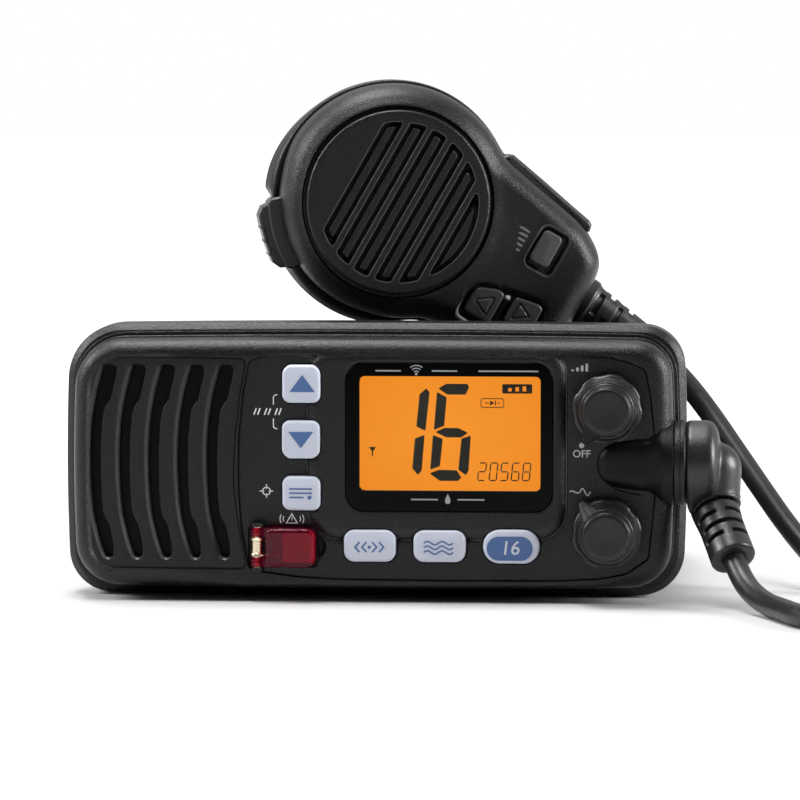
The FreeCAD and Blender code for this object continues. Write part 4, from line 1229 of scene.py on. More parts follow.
# ------------------------------------------------------------------ neck and plug seat on the right
s = Shape()
rings = []
NY, NZ = -56.0, 34.2
NK_X = [54.9, 55.1, 55.5, 56.2, 57.2, 58.5, 60.3, 65.6, 68.0]
NK_R = [4.7, 5.2, 6.0, 6.7, 7.2, 7.5, 7.6, 7.6, 7.6]
NK_A = [0.8, 1.6, 2.6, 3.8, 4.7, 5.4, 6.0, 6.75, 6.75]
for x in [54.9, 55.0, 55.1, 55.3, 55.5, 55.8, 56.2, 56.7, 57.2, 57.8, 58.5, 59.4, 60.3, 62.0, 64.0, 65.6, 66.6, 67.6, 68.8, 69.7, 70.35, 70.9, 71.4, 71.9, 72.4, 73.0, 73.55, 73.75, 73.85]:
    g_ = float(smoothstep(67.4, 72.3, x))
    R_ = float(np.interp(x, NK_X, NK_R)) * (1 - g_) + 10.5 * g_
    a_ = float(np.interp(x, NK_X, NK_A)) * (1 - g_) + 10.6 * g_
    if x > 73.6:
        R_, a_ = R_ - (0.25 if x > 73.8 else 0.07), a_ - (0.25 if x > 73.8 else 0.07)
    n_ = 4.2 - 2.2 * g_
    yb = -58.7 if x < 70.2 else -48.6
    t = np.linspace(0, 2 * math.pi, 96, endpoint=False)
    c_, s_ = np.cos(t), np.sin(t)
    k_ = (np.abs(c_) ** n_ + np.abs(s_) ** n_) ** (-1 / n_)
    y = np.minimum(NY - R_ * k_ * c_, yb)
    rings.append(np.stack([np.full(96, x), y, NZ + a_ * k_ * s_], 1))
s.rings(rings, cap0=True, cap1=True)
# the neck is in the darker copy of the moulding black: painted shade
neck = build("plug_seat_neck", s, BLACK_PAINTED_SHADE, "radio", sharp=45, merge=0.003)
# a dark line round the nose of the neck, in the near-black recess colour: painted shade of the groove there
s = Shape()
run = densify(neck_out, 0.6)
run = run[(run[:, 0] < 66.5)]
st_ = int(np.argmax(np.linalg.norm(run - np.roll(run, 1, 0), axis=1)))
run = np.roll(run, -st_, 0)
g1, g2 = offset(run, 0.05)[1:-1], offset(run, -0.36)[1:-1]
a = s.points(on_face(g1, Y_FACE - 0.03)); b = s.points(on_face(g2, Y_FACE - 0.03))
c = s.points(on_face(g2, Y_FACE + 0.05)); d = s.points(on_face(g1, Y_FACE + 0.05))
for p_, q_ in ((a, b), (b, c), (c, d), (d, a)):
    s.bridge(p_, q_, False)
s.face((a[0], b[0], c[0], d[0])); s.face((a[-1], d[-1], c[-1], b[-1]))
build("neck_groove_shade_line", s, RECESS_PAINTED_SHADE, "radio", sharp=40, weighted=False)

# collar ring of the plug, with a fine groove between its two bands
s = Shape()
rings = []
for x, r in [(73.9, 9.6), (73.9, 10.1), (74.0, 10.38), (74.2, 10.5), (75.1, 10.5), (75.22, 10.3), (75.42, 10.3), (75.54, 10.5), (76.35, 10.5), (76.6, 10.4), (76.74, 10.15), (76.8, 9.8)]:
    t = np.linspace(0, 2 * math.pi, 96, endpoint=False)
    rings.append(np.stack([np.full(96, x), np.minimum(NY - r * np.cos(t), -48.45), 34.4 + r * np.sin(t)], 1))
s.rings(rings, cap0=True, cap1=True)
collar = build("plug_collar_ring", s, BLACK, "radio", sharp=40, merge=0.002)
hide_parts("plug_collar")
panel_parts = [neck]

# ------------------------------------------------------------------ right-angle plug: one moulded body
def revolve(shape, profile, at, direction, seg=72, clamp=None):
    d = Vector(direction).normalized()
    u = d.orthogonal().normalized()
    w = d.cross(u)
    c = Vector(at)
    rings = []
    for t, r in profile:
        ring = [c + d * t + (u * math.cos(2 * math.pi * k / seg) + w * math.sin(2 * math.pi * k / seg)) * r for k in range(seg)]
        if clamp:
            ring = [clamp(q) for q in ring]
        rings.append(ring)
    shape.rings(rings, cap0=True, cap1=True)


def dome(r, n=10, sy=1.0):
    return [(-r * math.cos(math.pi / 2 * k / n) * sy, max(r * math.sin(math.pi / 2 * k / n), 0.05)) for k in range(n)]


def moulded(name, shape, voxel, iterations, mat, body, factor=0.5):
    """Overlapping solids made into one skin, with their creases filled by smoothing."""
    me = bpy.data.meshes.new(name)
    me.from_pydata([tuple(q) for q in arr(shape.v) * MM], [], shape.f)
    o = bpy.data.objects.new(name, me)
    bpy.context.scene.collection.objects.link(o)
    bm = bmesh.new(); bm.from_mesh(me); bmesh.ops.recalc_face_normals(bm, faces=bm.faces); bm.to_mesh(me); bm.free()
    m = o.modifiers.new("skin", "REMESH")
    m.mode, m.voxel_size, m.use_smooth_shade = "VOXEL", voxel * MM, True
    m = o.modifiers.new("soften", "SMOOTH")
    m.factor, m.iterations = factor, iterations
    dg = bpy.context.evaluated_depsgraph_get()
    nm = bpy.data.meshes.new_from_object(o.evaluated_get(dg))
    o.modifiers.clear()
    o.data = nm
    nm.name = name
    bpy.data.meshes.remove(me)
    nm.materials.clear(); nm.materials.append(mat)
    for p in nm.polygons:
        p.use_smooth = True
        p.material_index = 0
    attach(o, body)
    return o


BOOT_END = Vector(PLUG_CORD[0])
BOOT_TOP = Vector((83.8, -58.05, 23.45))
BD = (BOOT_END - BOOT_TOP).normalized()
BOOT_LEN = (BOOT_END - BOOT_TOP).length
s = Shape()
cl = lambda q: Vector((q[0], min(q[1], -48.6), q[2])) if q[0] < 77.7 else q
revolve(s, [(0, 9.7), (0.12, 10.1), (0.35, 10.35), (0.7, 10.45), (1.4, 10.45), (2.4, 10.45), (4.0, 10.45), (5.6, 10.4), (6.4, 10.05), (7.0, 9.45), (7.6, 8.4), (8.0, 7.1), (8.25, 5.2), (8.35, 2.0), (8.35, 0.1)], (76.85, NY, 34.4), (1, 0, 0), 72, cl)
# the arm that turns down to the strain relief and bends towards its line
C1, KN = Vector((83.9, -56.3, 33.1)), Vector((83.7, -56.4, 28.2))
PB = KN + (KN - C1).normalized() * 2.6


def arm_at(t):
    """Middle and direction of the arm, t from 0 at its top to 1 at the strain relief."""
    if t < 0.5:
        return C1.lerp(KN, t / 0.5), (KN - C1).normalized()
    u_ = (t - 0.5) / 0.5
    q_ = KN * (1 - u_) ** 2 + PB * 2 * u_ * (1 - u_) + BOOT_TOP * u_ ** 2
    d_ = (PB - KN) * (1 - u_) + (BOOT_TOP - PB) * u_
    return q_, d_.normalized()


def arm_ring(t, r, n=72, dz=0.0):
    q_, d_ = arm_at(t)
    e1 = (Vector((1, 0, 0)) - d_ * d_.x).normalized()
    e2 = d_.cross(e1)
    return [q_ + d_ * dz + (e1 * math.cos(2 * math.pi * k_ / n) + e2 * math.sin(2 * math.pi * k_ / n)) * r for k_ in range(n)]


arm_rings = [arm_ring(0, r_, dz=t_) for t_, r_ in dome(6.5)] + [arm_ring(t_, 6.5) for t_ in (0.0, 0.25, 0.5, 0.6, 0.7, 0.8, 0.9, 1.0)]
s.rings(arm_rings, cap0=True, cap1=True)
elbow = moulded("plug_elbow_body", s, 0.42, 7, RUBBER, "radio")
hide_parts("plug_elbow")

# ribbed strain relief: rings of slots, every second ring turned by half a slot
s = Shape()
front_u = (Vector((0.15, -1, 0.3)) - BD * Vector((0.15, -1, 0.3)).dot(BD)).normalized()
front_w = BD.cross(front_u).normalized()
seg = 144
th = np.linspace(-math.pi, math.pi, seg, endpoint=False)
ROWS = (0.085, 0.285, 0.485, 0.685)


def boot_radius(t):
    """Radius before the slots, t from 0 to 1."""
    return 5.95 - 0.45 * smoothstep(0.0, 0.45, t) + 0.05 * smoothstep(0.74, 0.80, t)


def window(x, a, b, e):
    return smoothstep(a - e, a + e, x) * (1 - smoothstep(b - e, b + e, x))


def boot_cut(t):
    """Depth of the slots round one ring."""
    cut = np.zeros(seg)
    for k, tc_ in enumerate(ROWS):
        deep = window(t, tc_ - 0.036, tc_ + 0.036, 0.006)
        if k % 2 == 0:
            mask = 1 - (smoothstep(1.16, 1.28, np.abs(th)) * (1 - smoothstep(1.86, 1.98, np.abs(th))))
        else:
            mask = smoothstep(0.18, 0.29, np.abs(th)) * (1 - smoothstep(1.22, 1.34, np.abs(th))) + smoothstep(1.80, 1.92, np.abs(th)) * (1 - smoothstep(2.85, 2.96, np.abs(th)))
        cut += 0.85 * float(deep) * mask
    return cut


ts = sorted(set([round(float(q), 4) for q in np.linspace(0, 1, 60)] + [round(tc_ + e_, 4) for tc_ in ROWS for e_ in (-0.044, -0.040, -0.036, -0.032, -0.029, 0, 0.029, 0.032, 0.036, 0.040, 0.044)]))
rings, cuts = [], []
for t in ts:
    q = BOOT_TOP + BD * (BOOT_LEN * t)
    c_ = boot_cut(t)
    r = boot_radius(t) - c_
    e_ = (1 - t) * BOOT_LEN
    if e_ < 0.7:
        r = r - (0.7 - math.sqrt(max(0.49 - (0.7 - e_) ** 2, 0)))
    cuts.append(c_)
    rings.append([q + (front_u * math.cos(a_) + front_w * math.sin(a_)) * float(rr) for a_, rr in zip(th, r)])
for r_, dz_ in ((4.2, 0.0), (3.3, 0.05), (2.92, -0.08), (2.7, -0.9)):
    q = BOOT_END + BD * dz_
    cuts.append(np.zeros(seg))
    rings.append([q + (front_u * math.cos(a_) + front_w * math.sin(a_)) * r_ for a_ in th])
s.rings(rings, cap0=True, cap1=True)
# the bottoms of the slots take the near-black recess colour: painted shade
for i_ in range(len(rings) - 1):
    for j_ in range(seg):
        if min(cuts[i_][j_], cuts[i_ + 1][j_], cuts[i_][(j_ + 1) % seg], cuts[i_ + 1][(j_ + 1) % seg]) > 0.3:
            s.m[i_ * seg + j_] = 1
# two raised rings on the arm above it
for t_ in (0.72, 0.90):
    s.rings([arm_ring(t_, 6.45 + b_, 96, z_) for z_, b_ in ((-0.42, -0.2), (-0.28, 0.0), (-0.12, 0.13), (0.0, 0.16), (0.12, 0.13), (0.28, 0.0), (0.42, -0.2))], cap0=True, cap1=True)
plug_boot = build("plug_strain_relief", s, [RUBBER, RECESS_PAINTED_SHADE], "radio", sharp=40, merge=0.002)
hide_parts("plug_boot")

# ------------------------------------------------------------------ speaker cloth behind the slots
s = Shape()
cl_out = rrect(-51.35, 34.0, 36.7, 51.0, 2.5, 6)
rings = [on_face(cl_out, -58.25), on_face(cl_out, -58.66), on_face(offset(cl_out, 0.25), -58.7)]
cen_ = cl_out.mean(0)
for t, c in ((0.8, 0.05), (0.55, 0.10), (0.3, 0.14), (0.08, 0.15)):
    rings.append(on_face(cen_ + (cl_out - cen_) * t, -58.7 - c))
s.rings(rings, cap0=True, cap1=True)
cloth = build("speaker_cloth_sheet", s, CLOTH, "radio", sharp=40)
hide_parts("speaker_cloth")

# ------------------------------------------------------------------ display: glossy window with a clear pane, back-lit glass, dark segments
OPEN = rrect(19.22, 41.74, 44.3, 28.04, 1.1, 8)
lens_out = rrect(*LENS[:4], LENS[4], 12)
nn = 160
lo_l, op_l = resample(lens_out, nn), resample(OPEN, nn)


def ring_plate(name, outer, inner, y0, y1, r, mat, body, inner_r=0.0):
    """A plate with one hole, both loops sampled alike; its outer front edge is rounded by r."""
    s = Shape()
    rr = []
    for k in range(5):
        a = math.pi / 2 * k / 4
        rr.append(on_face(offset(outer, r * (1 - math.cos(a))), y0 + r * (1 - math.sin(a))))
    mids = []
    o2 = offset(outer, r)
    i2 = offset(inner, -max(inner_r, 0.02))
    for t in (0.33, 0.66):
        mids.append(on_face(o2 + (i2 - o2) * t, y0))
    rings = [on_face(outer, y1)] + rr + mids + [on_face(i2, y0), on_face(inner, y0 + max(inner_r, 0.02)), on_face(inner, y1)]
    ids = s.rings(rings)
    s.bridge(ids[-1], ids[0])
    return build(name, s, mat, body)


# start both loops at the same corner so that they match
def start_at(loop, d):
    k = int(np.argmax(loop @ arr(d)))
    return np.roll(loop, -k, 0)


lo_l = resample(start_at(rrect(LENS[0], LENS[1], LENS[2], LENS[3], LENS[4], 12), (1, -0.72)), nn)
op_l = resample(start_at(OPEN, (1, -0.72)), nn)
window_ring = ring_plate("display_window_frame", lo_l, op_l, -62.5, -60.62, 0.35, GLOSS, "radio", 0.08)
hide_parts("display_window")
pane = slab("display_pane", offset(rrect(19.22, 41.74, 44.3, 28.04, 1.1, 8), 0.03), -62.45, -60.9, 0.1, CLEAR, "radio", n=2)
lcd = slab("lcd_lit_glass", rrect(19.1, 41.7, 47.0, 31.0, 1.0, 6), -60.4, -58.6, 0.1, AMBER, "radio", n=2)
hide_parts("lcd_glass")
YL = -60.46


def cr(X, Y):
    """A point measured in the enlarged view of the display."""
    return px(330 + X / 5.6, 330 + Y / 5.6)


def shrink(poly_, d=0.05):
    return offset(ccw(arr(poly_)), d)


s = Shape()
SEG = [
    [(538, 328), (556, 350), (533, 567), (482, 542), (500, 362)], [(528, 590), (512, 790), (490, 815), (459, 778), (474, 610)],
    [(605, 328), (650, 302), (768, 302), (778, 320), (758, 362), (655, 362)], [(598, 348), (652, 378), (638, 538), (580, 562)], [(588, 573), (640, 550), (715, 550), (772, 576), (735, 603), (650, 603)],
    [(575, 590), (630, 612), (614, 765), (560, 785)], [(788, 592), (775, 790), (760, 815), (718, 785), (735, 610)], [(555, 806), (610, 786), (708, 788), (735, 828), (715, 848), (615, 848)],
]
for g_ in SEG:
    flat_mark(s, rounded(ccw(arr([cr(*q) for q in g_])), 0.18, 3), YL)


def seg7(shape, cx, cz, w, h, t, digit, slant=0.10):
    """One figure of a seven-segment row, in thin strokes."""
    on = {"0": "abcdef", "1": "bc", "2": "abged", "3": "abgcd", "4": "fgbc", "5": "afgcd", "6": "afgedc", "7": "abc", "8": "abcdefg", "9": "abcfgd"}[digit]
    x0, x1, z0, z1, zm = -w / 2, w / 2, -h / 2, h / 2, 0
    g = t * 0.55
    P = {"a": ((x0 + g, z1), (x1 - g, z1)), "b": ((x1, z1 - g), (x1, zm + g)), "c": ((x1, zm - g), (x1, z0 + g)), "d": ((x0 + g, z0), (x1 - g, z0)), "e": ((x0, zm - g), (x0, z0 + g)), "f": ((x0, z1 - g), (x0, zm + g)), "g": ((x0 + g, zm), (x1 - g, zm))}
    for k in on:
        (ax, az), (bx, bz) = P[k]
        line_mark(shape, [(cx + ax + az * slant, cz + az), (cx + bx + bz * slant, cz + bz)], t, YL)


for (a_, b_), d_ in zip(((476, 488), (488, 499), (500, 509), (511, 520), (522, 531)), "20568"):
    c_ = px((a_ + b_) / 2, 472)
    seg7(s, c_[0], c_[1], 1.75, 4.3, 0.30, d_)
# a filled badge with three bars left open, an outlined badge, a small mark
bx0, bz1 = px(502, 384); bx1, bz0 = px(532, 393.4)
bw_, bh_ = bx1 - bx0, bz1 - bz0
xs_ = [bx0, bx0 + bw_ * 0.20, bx0 + bw_ * 0.32, bx0 + bw_ * 0.44, bx0 + bw_ * 0.56, bx0 + bw_ * 0.68, bx0 + bw_ * 0.80, bx1]
flat_mark(s, rounded([(bx0, bz0), (xs_[1], bz0), (xs_[1], bz1), (bx0, bz1)], [0.35, 0, 0, 0.35], 4), YL)
flat_mark(s, [(xs_[2], bz0), (xs_[3], bz0), (xs_[3], bz1), (xs_[2], bz1)], YL)
flat_mark(s, [(xs_[4], bz0), (xs_[5], bz0), (xs_[5], bz1), (xs_[4], bz1)], YL)
flat_mark(s, rounded([(xs_[6], bz0), (bx1, bz0), (bx1, bz1), (xs_[6], bz1)], [0, 0.35, 0.35, 0], 4), YL)
for q0, q1 in ((1, 2), (3, 4), (5, 6)):
    hh_ = {1: 0.30, 3: 0.20, 5: 0.10}[q0] * bh_
    flat_mark(s, [(xs_[q0], bz0), (xs_[q1], bz0), (xs_[q1], bz0 + 0.22 * bh_), (xs_[q0], bz0 + 0.22 * bh_)], YL)
    flat_mark(s, [(xs_[q0], bz1 - hh_ - 0.12 * bh_), (xs_[q1], bz1 - hh_ - 0.12 * bh_), (xs_[q1], bz1), (xs_[q0], bz1)], YL)
tx0, tz1 = px(480.4, 398.2); tx1, tz0 = px(504, 407.8)
line_mark(s, rrect((tx0 + tx1) / 2, (tz0 + tz1) / 2, tx1 - tx0 - 0.2, tz1 - tz0 - 0.2, 0.5, 4), 0.20, YL, True)
tcx, tcz = (tx0 + tx1) / 2, (tz0 + tz1) / 2
line_mark(s, [(tcx - 1.7, tcz), (tcx - 0.9, tcz)], 0.24, YL)
flat_mark(s, [(tcx - 0.6, tcz - 0.62), (tcx + 0.55, tcz), (tcx - 0.6, tcz + 0.62)], YL)
line_mark(s, [(tcx + 0.75, tcz - 0.62), (tcx + 0.75, tcz + 0.62)], 0.24, YL)
line_mark(s, [(tcx + 1.2, tcz), (tcx + 1.8, tcz)], 0.24, YL)
ux, uz = px(372, 452.4)
line_mark(s, [(ux, uz - 1.1), (ux, uz + 0.5)], 0.32, YL)
flat_mark(s, [(ux - 0.9, uz + 1.15), (ux, uz - 0.05), (ux + 0.9, uz + 1.15)], YL)
segs = panel_mark("lcd_segments", s, SEGMENT, "radio")

# small marks on the window: three rings of a radio wave, and a drop
s = Shape()
wx, wz = px(414, 370.6)
for r_ in (0.9, 1.6, 2.3):
    line_mark(s, arc_pts(wx + 0.6, wz - 0.95, r_, 50, 130, 12), 0.24, -62.53)
flat_mark(s, circle(wx + 0.6, wz - 0.75, 0.34, 16), -62.53)
line_mark(s, [(wx - 9.4, wz), (wx - 3.2, wz)], 0.34, -62.53)
line_mark(s, [(wx + 4.4, wz), (wx + 10.6, wz)], 0.34, -62.53)
line_mark(s, [(wx + 15.8, wz), (wx + 30.4, wz)], 0.34, -62.53)
dx_, dz_ = px(448, 499.6)
drop = [(dx_ + 0.95 * math.sin(a_) * math.sin(a_ / 2) ** 1.5, dz_ + 0.2 + 1.25 * math.cos(a_)) for a_ in np.linspace(0, 2 * math.pi, 28, endpoint=False)]
flat_mark(s, drop, -62.53)
line_mark(s, [(dx_ - 9.0, dz_), (dx_ - 2.4, dz_)], 0.34, -62.53)
line_mark(s, [(dx_ + 2.4, dz_), (dx_ + 9.0, dz_)], 0.34, -62.53)
panel_mark("window_marks", s, PRINT_GREY, "radio")

# ------------------------------------------------------------------ keys
def key_cap(n, body):
    """A moulded key: a short draft on its sides, a rounded shoulder and an almost flat top."""
    x, z, w, h, r = KEYS[n]
    lp = key_loop(n, 0.0, 10)
    s = Shape()
    rings = [on_face(lp, -57.75), on_face(lp, -62.1)]
    R = 0.85
    for k in range(1, 8):
        a = math.pi / 2 * k / 7
        rings.append(on_face(offset(lp, 0.06 + R * 0.8 * (1 - math.cos(a))), -62.72 + 0.02 - R * 0.9 * math.sin(a) * 0.98))
    top = offset(lp, 0.06 + R * 0.8)
    y = -62.7 - R * 0.9 * 0.98
    c = top.mean(0)
    for t, dy in ((0.92, 0.035), (0.8, 0.06), (0.6, 0.09), (0.35, 0.115), (0.1, 0.125)):
        rings.append(on_face(c + (top - c) * t, y - dy))
    s.rings(rings, cap0=True, cap1=True)
    o = build(n + "_cap", s, KEY, body, sharp=50)
    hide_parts(n)
    return y - 0.125


KY = {n: key_cap(n, n) - 0.03 for n in KEYS}


def mark_group(name, mat, body, slot=None):
    return Shape(), (lambda sh: panel_mark(name, sh, mat, body))


# legends on the keys: plain figures and shapes
s = Shape()
flat_mark(s, [px(289.6, 392), px(315.2, 392), px(302.4, 374.8)], KY["key_channel_up"])
panel_mark("legend_up", s, BLUE, "key_channel_up")
s = Shape()
flat_mark(s, [px(288.4, 432), px(313.4, 432), px(301, 448.6)], KY["key_channel_down"])
panel_mark("legend_down", s, BLUE, "key_channel_down")
s = Shape()
mx_, mz_ = px(300.6, 493.6)
for k, w_ in ((1, 5.6), (0, 5.6), (-1, 3.6)):
    line_mark(s, [(mx_ - 2.8, mz_ + k * 1.05), (mx_ - 2.8 + w_, mz_ + k * 1.05)], 0.40, KY["key_menu"])
flat_mark(s, circle(mx_ + 2.2, mz_ - 1.05, 0.52, 20), KY["key_menu"])
panel_mark("legend_menu", s, BLUE, "key_menu")
s = Shape()
kx_, kz_ = px(369.6, 547.4)
for sx in (-1, 1):
    for d_ in (0.0, 1.7):
        c_ = kx_ + sx * (1.25 + d_)
        line_mark(s, [(c_ - sx * 0.55, kz_ + 1.25), (c_ + sx * 0.55, kz_), (c_ - sx * 0.55, kz_ - 1.25)], 0.42, KY["key_scan"])
flat_mark(s, circle(kx_, kz_, 0.42, 18), KY["key_scan"])
panel_mark("legend_scan", s, BLUE, "key_scan")
s = Shape()
cx_, cz_ = px(439, 547.6)
for k in range(3):
    pts_ = [(cx_ - 3.6 + 0.3 * j_, cz_ + (k - 1) * 1.15 + 0.42 * math.sin(j_ * 0.3 / 7.2 * 4 * math.pi)) for j_ in range(25)]
    line_mark(s, pts_, 0.38, KY["key_dual"])
panel_mark("legend_wave", s, BLUE, "key_dual")
s = Shape()
ox_, oz_ = px(510.3, 548)
flat_mark(s, rrect(ox_, oz_, 11.25, 5.9, 2.94, 12), KY["key_sixteen"])
panel_mark("legend_oval", s, BLUE, "key_sixteen")
text_mark("16", ox_ + 0.05, oz_, 3.35, KY["key_sixteen"] - 0.02, material("print_pale", (0.62, 0.66, 0.72), rough=0.55, mottling=0.04, mottling_scale=2500), "legend_sixteen", "key_sixteen", bold=0.03, slant=0.12, t=0.03)

# legends on the panel
YP = Y_FACE - 0.035
s = Shape()
# bracket between the two arrow keys
b0_, b1_ = px(276.6, 395.6), px(276.6, 429.6)
hx_ = px(272.6, 400)[0]
line_mark(s, [b0_, (hx_ + 0.45, b0_[1]), (hx_, b0_[1] - 0.45), (hx_, px(0, 405.6)[1])], 0.24, YP)
line_mark(s, [b1_, (hx_ + 0.45, b1_[1]), (hx_, b1_[1] + 0.45), (hx_, px(0, 419.4)[1])], 0.24, YP)
# channel list: three bars and a dot, where the channel word stood
ax_, az_ = px(268.5, 412.4)
for k, (u0, u1) in enumerate(((-3.5, -1.7), (-0.9, 0.9), (1.7, 3.5))):
    line_mark(s, [(ax_ + u0 - 0.30, az_ - 0.80), (ax_ + u0 + 0.30, az_ + 0.80)], 0.34, YP)
    line_mark(s, [(ax_ + u0 + 0.62, az_ - 0.80), (ax_ + u0 + 1.22, az_ + 0.80)], 0.34, YP)
# cross-hair for position
qx_, qz_ = px(265.5, 492.5)
line_mark(s, circle(qx_, qz_, 0.95, 28), 0.24, YP, True)
for dx_, dz_ in ((1, 0), (-1, 0), (0, 1), (0, -1)):
    line_mark(s, [(qx_ + dx_ * 0.55, qz_ + dz_ * 0.55), (qx_ + dx_ * 1.65, qz_ + dz_ * 1.65)], 0.24, YP)
# warning triangle with a bar, above the flap
wx_, wz_ = px(291, 520.4)
line_mark(s, [(wx_ - 1.35, wz_ - 1.0), (wx_ + 1.35, wz_ - 1.0), (wx_, wz_ + 1.25)], 0.26, YP, True)
line_mark(s, [(wx_, wz_ - 0.35), (wx_, wz_ + 0.45)], 0.22, YP)
for sx in (-1, 1):
    for k in (0, 1):
        line_mark(s, arc_pts(wx_ + sx * 0.9, wz_, 1.25 + 0.75 * k, (180 if sx < 0 else 0) - 32, (180 if sx < 0 else 0) + 32, 9), 0.24, YP)
# flag, above the left long key
fx_, fz_ = px(371.5, 521)
line_mark(s, [(fx_ - 1.2, fz_ - 1.15), (fx_ - 1.2, fz_ + 1.2)], 0.28, YP)
flat_mark(s, [(fx_ - 1.1, fz_ + 1.2), (fx_ - 1.1, fz_ - 0.15), (fx_ + 1.5, fz_ - 0.15), (fx_ + 0.85, fz_ + 0.52), (fx_ + 1.5, fz_ + 1.2)], YP)
# two overlapping rings, above the middle key
rx_, rz_ = px(440, 521)
for sx in (-1, 1):
    line_mark(s, circle(rx_ + sx * 0.85, rz_, 1.05, 28), 0.28, YP, True)
panel_mark("panel_legends", s, PRINT, "radio")
nx_, nz_ = px(511.6, 520.4)
text_mark("9", nx_, nz_, 2.35, YP, PRINT, "legend_nine", "radio", bold=0.05, slant=0.15, t=0.03)
s = Shape()
# rising bars for loudness, a gate in a wave for squelch, a dot
vx_, vz_ = px(579, 366.8)
for k in range(4):
    x_ = vx_ - 1.9 + k * 1.15
    flat_mark(s, [(x_, vz_ - 0.95), (x_ + 0.62, vz_ - 0.95), (x_ + 0.62, vz_ - 0.5 + 0.48 * k), (x_, vz_ - 0.5 + 0.48 * k)], YP)
zx_, zz_ = px(580, 491.6)
pts_ = [(zx_ - 2.5 + 0.18 * j_, zz_ + 0.85 * math.sin(j_ * 0.18 / 5.0 * 4 * math.pi) * (1.0 if j_ * 0.18 > 2.4 else 0.28)) for j_ in range(29)]
line_mark(s, pts_, 0.32, YP)
dox_, doz_ = px(581.6, 445.0)
flat_mark(s, circle(dox_, doz_, 0.62, 24), YP)
PRINT_SOFT = material("print_soft", (0.46, 0.47, 0.48), rough=0.55, mottling=0.05, mottling_scale=2500, rough_var=0.05)
panel_mark("knob_legends", s, PRINT_SOFT, "radio")
ofx_, ofz_ = px(581.6, 453.6)
text_mark("OFF", ofx_, ofz_, 1.75, YP, PRINT_SOFT, "legend_off", "radio", bold=0.035, t=0.03)


# ------------------------------------------------------------------ knobs
def knob_mesh(name, cx, cz, angle, body, node):
    """A flat cap in a stepped cone over a skirt with shallow finger scallops, and a pointer."""
    seg = 168
    t = np.linspace(0, 2 * math.pi, seg, endpoint=False)
    a = math.radians(angle)
    dent = np.zeros(seg)
    for i in range(1, 8):
        d = (t - (a + i * math.pi / 4) + math.pi) % (2 * math.pi) - math.pi
        dent += np.exp(-(d / 0.17) ** 4)
    prof = [(-61.7, 8.3, 1), (-61.75, 8.5, 1), (-66.2, 8.55, 1), (-66.6, 8.45, 1), (-66.85, 8.2, 0.9), (-67.0, 7.85, 0.6), (-67.5, 7.62, 0.3), (-69.6, 6.95, 0), (-69.85, 6.80, 0), (-69.9, 6.55, 0), (-70.05, 6.42, 0), (-72.6, 5.98, 0), (-73.0, 5.9, 0), (-73.1, 5.78, 0),
            (-73.12, 5.62, 0), (-73.25, 5.52, 0), (-73.7, 5.45, 0), (-73.92, 5.36, 0), (-74.0, 5.15, 0), (-74.0, 4.6, 0), (-73.95, 3.4, 0), (-73.9, 1.8, 0), (-73.88, 0.4, 0)]
    s = Shape()
    rings = []
    for y, r, k in prof:
        rr = r - 0.30 * k * dent
        rings.append(np.stack([cx + rr * np.cos(t), np.full(seg, y), cz + rr * np.sin(t)], 1))
    s.rings(rings, cap0=True, cap1=True)
    # pointer: a wedge along the cone, thin at its tip
    ca, sa = math.cos(a), math.sin(a)
    rows = []
    for r, w, y in ((5.6, 2.5, -70.9), (6.4, 2.35, -70.4), (7.4, 1.95, -69.4), (8.4, 1.5, -68.3), (9.3, 1.05, -67.6), (9.9, 0.75, -67.2), (10.15, 0.45, -66.9)):
        yb = -62.3 if r < 8.5 else -64.0
        sec = [(-w, yb), (-w, y + 0.55), (-w * 0.82, y + 0.12), (-w * 0.5, y), (-0.22, y), (0, y + 0.16), (0.22, y), (w * 0.5, y), (w * 0.82, y + 0.12), (w, y + 0.55), (w, yb)]
        rows.append([(cx + r * ca - q * sa, yy, cz + r * sa + q * ca) for q, yy in sec])
    s.rings(rows, cap0=True, cap1=True, m=1)
    o = build(name, s, [KNOB, KNOB_DIM], body, sharp=28, merge=0.002)
    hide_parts(node)
    return o


knob_mesh("volume_knob_cap", *VOL, 235.0, "volume", "volume_knob")
knob_mesh("squelch_knob_cap", *SQL, 130.0, "squelch", "squelch_knob")

# ------------------------------------------------------------------ red see-through flap, its hinge and the key under it
FX0, FX1, FZ0, FZ1 = -29.2, -13.6, 8.9, 18.5
PX_, PY_ = -28.0, -63.4
s = Shape()
fo = start_at(densify(ccw(rounded([(FX0 + 3.4, FZ0), (FX1, FZ0), (FX1, FZ1), (FX0 + 3.4, FZ1)], [1.3, 2.3, 2.3, 1.3], 8)), 1.0), (1, -0.7))
rings = []
inner = offset(fo, 1.05)
for y, d_ in ((-61.2, 1.05), (-64.6, 1.05), (-64.82, 1.15), (-64.9, 1.4)):
    rings.append(on_face(offset(fo, d_), y))
roof_in = offset(fo, 1.4)
ids = s.rings([rings[0], rings[1], rings[2], rings[3]])
s.face(ids[-1])
outer_r = [on_face(offset(fo, 0.25), -60.75), on_face(fo, -61.0), on_face(fo, -64.9)]
for k in range(1, 7):
    a = math.pi / 2 * k / 6
    outer_r.append(on_face(offset(fo, 1.1 * (1 - math.cos(a))), -64.9 - 1.1 * math.sin(a)))
oid = s.rings(outer_r)
s.face(oid[-1][::-1])
s.bridge(ids[0], oid[0])
